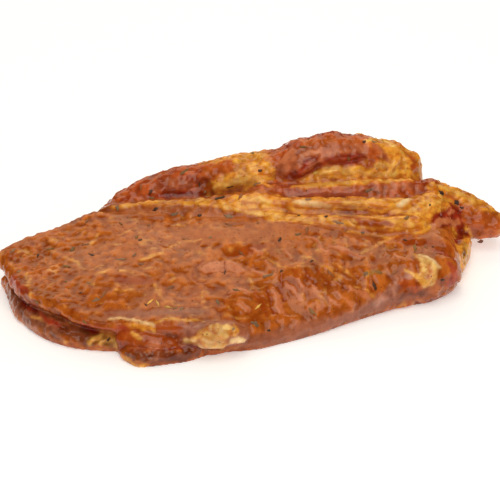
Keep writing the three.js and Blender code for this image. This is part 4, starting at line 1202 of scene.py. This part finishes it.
def lay_flakes_tree(material, flakes):
    """Lays a flake from the shelf at each point, by the point's own kind, lay and size."""
    tree, given, result = instances_tree("Lay Flakes", [("Size", "Float", 1.0)])
    link = tree.links.new
    kinds = add_node(tree, "GeometryNodeCollectionInfo", {"Collection": flakes, "Separate Children": True})
    put = add_node(tree, "GeometryNodeInstanceOnPoints", {"Pick Instance": True})
    link(given.outputs["Geometry"], put.inputs["Points"])
    link(kinds.outputs[0], put.inputs["Instance"])
    link(named(tree, "INT", "kind"), put.inputs["Instance Index"])
    turn = add_node(tree, "FunctionNodeEulerToRotation")
    link(named(tree, "FLOAT_VECTOR", "lay"), turn.inputs[0])
    link(turn.outputs[0], put.inputs["Rotation"])
    size = add_node(tree, "ShaderNodeVectorMath", operation="SCALE")
    link(named(tree, "FLOAT_VECTOR", "size"), size.inputs[0])
    link(given.outputs["Size"], size.inputs["Scale"])
    link(size.outputs[0], put.inputs["Scale"])
    finish_tree(tree, put.outputs[0], material, result)
    return tree


def sow_tree(name, material, shapes):
    """Sows grains over the faces of the meat, denser where its attribute says."""
    inputs = [
        ("Meat", "Object"), ("Grains per area", "Float", 1.0), ("Smallest", "Float", 0.0003),
        ("Largest", "Float", 0.0006), ("Flatness", "Float", 0.6), ("Seed", "Int", 1),
    ]
    tree, given, result = instances_tree(name, inputs)
    link = tree.links.new
    meat = add_node(tree, "GeometryNodeObjectInfo")
    link(given.outputs["Meat"], meat.inputs["Object"])
    density = math_node(tree, "MULTIPLY", named(tree, "FLOAT", "seasoning"), given.outputs["Grains per area"])
    spread = add_node(tree, "GeometryNodeDistributePointsOnFaces", distribute_method="RANDOM")
    link(meat.outputs["Geometry"], spread.inputs["Mesh"])
    link(density, spread.inputs["Density"])
    link(given.outputs["Seed"], spread.inputs["Seed"])
    kinds = add_node(tree, "GeometryNodeCollectionInfo", {"Collection": shapes, "Separate Children": True})
    put = add_node(tree, "GeometryNodeInstanceOnPoints", {"Pick Instance": True})
    link(spread.outputs["Points"], put.inputs["Points"])
    link(kinds.outputs[0], put.inputs["Instance"])
    link(spread.outputs["Rotation"], put.inputs["Rotation"])
    size = add_node(tree, "FunctionNodeRandomValue", data_type="FLOAT")
    low, high = [socket for socket in size.inputs if socket.enabled and socket.name in ("Min", "Max")]
    link(given.outputs["Smallest"], low)
    link(given.outputs["Largest"], high)
    link(given.outputs["Seed"], size.inputs["Seed"])
    across = next(socket for socket in size.outputs if socket.enabled)
    shape = add_node(tree, "ShaderNodeCombineXYZ")
    link(across, shape.inputs["X"])
    link(math_node(tree, "MULTIPLY", across, 0.8), shape.inputs["Y"])
    link(math_node(tree, "MULTIPLY", across, given.outputs["Flatness"]), shape.inputs["Z"])
    link(shape.outputs[0], put.inputs["Scale"])
    finish_tree(tree, put.outputs[0], material, result)
    return tree


def grown(name, mesh, tree, values):
    """Runs the tree on the mesh, with its inputs set by name, and returns the plain mesh that it makes."""
    worker = bpy.data.objects.new(name, mesh)
    bpy.context.scene.collection.objects.link(worker)
    modifier = worker.modifiers.new(tree.name, "NODES")
    modifier.node_group = tree
    sockets = {item.name: item.identifier for item in tree.interface.items_tree if item.in_out == "INPUT"}
    for label, value in values.items():
        modifier[sockets[label]] = value
    graph = bpy.context.evaluated_depsgraph_get()
    result = bpy.data.meshes.new_from_object(worker.evaluated_get(graph), depsgraph=graph)
    bpy.data.objects.remove(worker)
    result.name = name
    return result


SENSOR_WIDTH = 36
LIGHT_TARGET = Vector((0, 0, 0.015))
TABLE_REACH = 3
# The studio's lights, mm: name, place, size, radiance and colour
LIGHTS = (
    ("back softbox", (-100, 1000, 760), (1700, 800), 1.15, (1.0, 0.88, 0.64)),
    ("overhead softbox", (60, -140, 1100), (700, 900), 1.9, (1.0, 0.94, 0.82)),
    ("front softbox", (150, -950, 1000), (900, 620), 2.4, (1.0, 0.94, 0.82)),
)


def smooth_normal(tree, place):
    """The normal of the surface around a place, without its smallest bumps."""
    steps = ((0, 0), (1, 0), (-1, 0), (0, 1), (0, -1))
    normals = (tree.find_nearest(place + Vector((*step, 0)) * MM)[1] for step in steps)
    return sum(normals, Vector()).normalized()


class FleshSettings(bpy.types.PropertyGroup):
    """Sizes of the meat's skin."""

    pitch: FloatProperty(
        name="Pitch", description="Side of the skin's faces", default=0.0006, min=0.0004, unit="LENGTH"
    )
    relief: FloatProperty(
        name="Relief", description="Strength of the bundles and beads in the skin", default=1.0, min=0.0
    )
    grain: FloatProperty(
        name="Grain size", description="Width of the finest fibres", default=0.0009, unit="LENGTH"
    )
    bump: FloatProperty(
        name="Grain depth", description="Depth of the finest fibres", default=0.00012, unit="LENGTH"
    )


class SeasoningSettings(bpy.types.PropertyGroup):
    """Sizes and colours of the herbs and spices."""

    herb_size: FloatProperty(name="Herb size", description="Share of their real size", default=1.0, min=0.1)
    pepper: FloatProperty(
        name="Pepper", description="Specks of pepper per square metre of meat", default=16000, min=0
    )
    pepper_colour: FloatVectorProperty(
        name="Pepper colour", description="Colour of the specks", subtype="COLOR", size=3,
        default=tuple(colour(70, 34, 16)), min=0, max=1,
    )
    grit: FloatProperty(
        name="Grit", description="Grains of mustard and paprika per square metre", default=60000, min=0
    )
    seed: IntProperty(name="Seed", description="Seed of the scatter", default=4)


class StudioSettings(bpy.types.PropertyGroup):
    """Light around the meat."""

    daylight: FloatProperty(name="Daylight", description="Light from all sides", default=0.4, min=0)
    floor_glow: FloatProperty(
        name="Floor glow", description="Light that the white table adds", default=0.3, min=0
    )


SAME_PLACE = 0.001  # points of the CAD solid nearer than this are one, mm
SIGHT = 4  # how far outside the meat it is tested whether a place lies open, mm
OPEN_FADE = (0.3, 3.4)  # the field there in a crevice and in the open, mm
FOOT_FADE, SEASONED_FADE = (0.15, 1.5), (1.5, 3)  # heights over which relief and seasoning begin, mm
# How far the relief's plates and the film's patches lighten the paint on their tops: a painted highlight, on
# the film a painted reflection of the softboxes
PLATE_PAINTED_LIGHT, FILM_PAINTED_SHEEN = 0.45, 0.55
# Painted light and shade on the relief: lighter on the bumps' tops, darker in their valleys, and darker in
# crevices where little light reaches
BUMP_PAINTED_LIGHT, BUMP_FULL, CREVICE_PAINTED_SHADE = 0.14, 0.25, 0.82
GRAIN_DEPTH_RIGHT, GRAIN_DEPTH_FADE = 0.35, (-30, 10)
SEASONED_GRAIN = 0.2


class CORDON_OT_meat(bpy.types.Operator):
    """Builds the meat: muscles, fat and marinade over the CAD solid's form"""

    bl_idname = "cordon.meat"
    bl_label = "Meat"

    def execute(self, context):
        flesh = context.scene.cordon_flesh
        pitch = flesh.pitch * 1
        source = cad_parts["steak"].data.copy()
        shape = bmesh.new()
        shape.from_mesh(source)
        bmesh.ops.remove_doubles(shape, verts=shape.verts, dist=SAME_PLACE * MM)
        shape.to_mesh(source)
        shape.free()
        mesh = remeshed(source, pitch)
        mesh.name = "meat"
        settled(mesh, SETTLE_ROUNDS)
        points, normals = mesh_points(mesh), mesh_normals(mesh)
        p = points / MM - SHIFT
        openness = ease(*OPEN_FADE, meat_field(p + SIGHT * normals))
        surface = BVHTree.FromObject(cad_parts["steak"], context.evaluated_depsgraph_get())
        bumps, plates, film = relief(p)
        tint, shine, rise, grain = painted(p, View(surface), PLATE_PAINTED_LIGHT * plates + FILM_PAINTED_SHEEN * film)
        bumps *= grain * flesh.relief
        loose = ease(*FOOT_FADE, p[:, 2])
        points = points + normals * ((rise + bumps) * openness * loose * MM)[:, None]
        points[:, 2] = np.maximum(points[:, 2], 0)
        move_points(mesh, points)
        # Painted light and shade: lighter on the bumps' tops, darker in their valleys and in crevices
        lit = 1 + BUMP_PAINTED_LIGHT * np.clip(bumps / BUMP_FULL, -1, 1)
        tint = tint * lit[:, None] * mix(CREVICE_PAINTED_SHADE, 1, openness)[:, None]
        depth = grain * mix(1, GRAIN_DEPTH_RIGHT, ease(*GRAIN_DEPTH_FADE, p[:, 0]))
        seasoned = openness * ease(*SEASONED_FADE, p[:, 2]) * np.clip(grain + SEASONED_GRAIN, 0, 1)
        set_attribute(mesh, "tint", "FLOAT_COLOR", with_alpha(np.clip(tint, 0, 1)))
        set_attribute(mesh, "shine", "FLOAT", shine)
        set_attribute(mesh, "depth", "FLOAT", depth)
        set_attribute(mesh, "seasoning", "FLOAT", seasoned)
        fewer_foot_faces(mesh)
        mesh.shade_smooth()
        material = wet_material(
            "marinated flesh", fine_grain_group(), flesh.grain, mottle=0.6, grains=0.75,
            bump_depth=flesh.bump, soft=0.1,
        )
        meat = new_piece("meat", mesh, material)
        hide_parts("steak")
        return {"FINISHED"}


class CORDON_OT_herbs(bpy.types.Operator):
    """Lays the dried herbs on the meat"""

    bl_idname = "cordon.herbs"
    bl_label = "Herbs"

    def execute(self, context):
        meat = bpy.data.objects["meat"]
        tree = BVHTree.FromObject(meat, context.evaluated_depsgraph_get())
        view = View(tree)
        draw = np.random.default_rng(HERB_DRAW_SEED)
        rows = []
        for x, y, turn, length in scattered_herbs():
            kind = ("olive", "grey", "brown", "brown")[int(draw.integers(4))]
            start = Vector(((np.array([x, y, ABOVE_MEAT]) + SHIFT) * MM).tolist())
            place = tree.ray_cast(start, Vector((0, 0, -1)))[0]
            along = Vector((math.cos(math.radians(turn)), math.sin(math.radians(turn)), 0))
            width = HERB_WIDTH * draw.uniform(*WIDTH_SHARES)
            rows.append((place, smooth_normal(tree, place), along, length, width, kind))
        for across, down, turn, length, width, kind in HERBS:
            spot = view.spot(across, down)
            place = spot[0] if spot else view.table(across, down)
            normal = smooth_normal(tree, place) if spot else Vector((0, 0, 1))
            along = Vector((math.cos(math.radians(turn)), *(view.up[1:] * math.sin(math.radians(turn)))))
            away = Vector(view.back)
            along -= away * (along.dot(normal) / away.dot(normal))
            length *= PIXEL * min(along.length, LONGEST_STRETCH)
            rows.append((place, normal, along, length, width * PIXEL, kind))
        places, lays, sizes, kinds, tints = [], [], [], [], []
        for place, normal, along, length, width, kind in rows:
            along = (along - normal * along.dot(normal)).normalized()
            lay = Matrix((along, normal.cross(along), normal)).transposed().to_euler()
            places.append(place + normal * HERB_LIFT * MM)
            lays.append(tuple(lay))
            thickness = STRAW_THICKNESS if kind == "straw" else HERB_THICKNESS
            sizes.append((length * MM, width * HERB_BREADTH * MM, thickness * MM))
            kinds.append(NEEDLE if kind == "straw" else int(draw.integers(NEEDLE)))
            tints.append(HERB_TINTS[kind] * draw.uniform(*TINT_SHARES))
        mesh = bpy.data.meshes.new("herb spots")
        mesh.from_pydata([tuple(place) for place in places], [], [])
        set_attribute(mesh, "lay", "FLOAT_VECTOR", lays)
        set_attribute(mesh, "size", "FLOAT_VECTOR", sizes)
        kind_of = mesh.attributes.new("kind", "INT", "POINT")
        kind_of.data.foreach_set("value", kinds)
        set_attribute(mesh, "tint", "FLOAT_COLOR", with_alpha(np.array(tints)))
        group = bpy.data.node_groups["Fine Grain"]
        material = wet_material(
            "dried herb", group, grain_size=0.0006, mottle=0.9, grains=0.3, bump_depth=0.00008, shine=0.4
        )
        flakes = shelf("flake", [flake_mesh(*row) for row in FLAKES])
        values = {"Size": context.scene.cordon_seasoning.herb_size}
        herbs = new_piece("herbs", grown("herbs", mesh, lay_flakes_tree(material, flakes), values), None)
        return {"FINISHED"}


class CORDON_OT_spices(bpy.types.Operator):
    """Sows the pepper specks and the grit of the marinade"""

    bl_idname = "cordon.spices"
    bl_label = "Spices"

    def execute(self, context):
        seasoning = context.scene.cordon_seasoning
        meat = bpy.data.objects["meat"]
        group = bpy.data.node_groups["Fine Grain"]
        grains = shelf("grain", [speck_mesh(f"grain {i}", i) for i in range(GRAIN_SHAPES)])
        seed = seasoning.seed
        rows = (
            ("pepper_specks", "pepper", seasoning.pepper, PEPPER_GRAINS, seed, seasoning.pepper_colour),
            ("marinade_grit", "marinade grit", seasoning.grit, GRIT_GRAINS, seed + 1, None),
        )
        for name, label, density, (smallest, largest, flatness), seed, tint in rows:
            material = wet_material(
                label, group, grain_size=0.0007, mottle=0.5, grains=0.0, bump_depth=0.00006, shine=0.3
            )
            if tint is not None:
                dye = add_node(material.node_tree, "ShaderNodeRGB")
                dye.outputs[0].default_value = (*tint, 1)
                for link in list(material.node_tree.links):
                    if link.from_node.type == "ATTRIBUTE" and link.from_node.attribute_name == "tint":
                        material.node_tree.links.new(dye.outputs[0], link.to_socket)
            tree = sow_tree("Sow " + name.replace("_", " "), material, grains)
            values = {
                "Meat": meat, "Grains per area": density, "Smallest": smallest * MM,
                "Largest": largest * MM, "Flatness": flatness, "Seed": seed,
            }
            piece = new_piece(name, grown(name, bpy.data.meshes.new("seed bed"), tree, values), None)
        return {"FINISHED"}


class CORDON_OT_studio(bpy.types.Operator):
    """Sets the table, the soft lights and the camera"""

    bl_idname = "cordon.studio"
    bl_label = "Studio"

    def execute(self, context):
        scene = context.scene
        studio = scene.cordon_studio
        shape = bmesh.new()
        bmesh.ops.create_grid(shape, x_segments=1, y_segments=1, size=TABLE_REACH)
        floor_mesh = bpy.data.meshes.new("table")
        shape.to_mesh(floor_mesh)
        shape.free()
        floor = bpy.data.objects.new("table", floor_mesh)
        scene.collection.objects.link(floor)
        cloth = bpy.data.materials.new("pale table")
        cloth.use_nodes = True
        skin = cloth.node_tree.nodes["Principled BSDF"]
        skin.inputs["Base Color"].default_value = (0.88, 0.88, 0.88, 1)
        skin.inputs["Roughness"].default_value = 0.9
        skin.inputs["Specular IOR Level"].default_value = 0.1
        skin.inputs["Emission Color"].default_value = (1, 1, 1, 1)
        skin.inputs["Emission Strength"].default_value = studio.floor_glow
        floor_mesh.materials.append(cloth)
        for name, place, (width, height), radiance, tint in LIGHTS:
            lamp = bpy.data.lights.new(name, "AREA")
            lamp.shape = "RECTANGLE"
            lamp.size, lamp.size_y = width * MM, height * MM
            lamp.energy = radiance * math.pi * lamp.size * lamp.size_y
            lamp.color = tint
            light = bpy.data.objects.new(name, lamp)
            scene.collection.objects.link(light)
            light.location = Vector(place) * MM
            light.rotation_euler = (LIGHT_TARGET - light.location).to_track_quat("-Z", "Y").to_euler()
        world = bpy.data.worlds.new("daylight")
        world.use_nodes = True
        world.node_tree.nodes["Background"].inputs["Color"].default_value = (1, 1, 1, 1)
        world.node_tree.nodes["Background"].inputs["Strength"].default_value = studio.daylight
        world.cycles_visibility.glossy = False
        scene.world = world
        scene.view_settings.view_transform = "Standard"
        camera = bpy.data.objects.new("camera", bpy.data.cameras.new("camera"))
        scene.collection.objects.link(camera)
        view = View(None)
        camera.location = Vector(view.eye * MM)
        camera.rotation_euler = Vector(-view.back).to_track_quat("-Z", "Y").to_euler()
        camera.data.sensor_width = SENSOR_WIDTH
        camera.data.lens = SENSOR_WIDTH * VIEW_FOCUS / VIEW_WIDTH
        camera.data.clip_start = 0.01
        scene.camera = camera
        return {"FINISHED"}


class CORDON_PT_panel(bpy.types.Panel):
    bl_idname = "CORDON_PT_panel"
    bl_label = "Cordon Bleu"
    bl_space_type = "VIEW_3D"
    bl_region_type = "UI"
    bl_category = "Cordon Bleu"

    def draw(self, context):
        for group in SETTINGS:
            settings = getattr(context.scene, group)
            for name in type(settings).__annotations__:
                self.layout.prop(settings, name)
        for operator in OPERATORS:
            self.layout.operator(operator.bl_idname)


SETTINGS = {
    "cordon_flesh": FleshSettings,
    "cordon_seasoning": SeasoningSettings,
    "cordon_studio": StudioSettings,
}
OPERATORS = (CORDON_OT_meat, CORDON_OT_herbs, CORDON_OT_spices, CORDON_OT_studio)


def register():
    for cls in (*SETTINGS.values(), *OPERATORS, CORDON_PT_panel):
        bpy.utils.register_class(cls)
    for name, cls in SETTINGS.items():
        setattr(bpy.types.Scene, name, PointerProperty(type=cls))


def unregister():
    for name in SETTINGS:
        delattr(bpy.types.Scene, name)
    for cls in (CORDON_PT_panel, *reversed(OPERATORS), *reversed(SETTINGS.values())):
        bpy.utils.unregister_class(cls)


def main():
    register()
    bpy.ops.cordon.meat()
    bpy.ops.cordon.herbs()
    bpy.ops.cordon.spices()
    bpy.ops.cordon.studio()


if __name__ == "__main__":
    main()
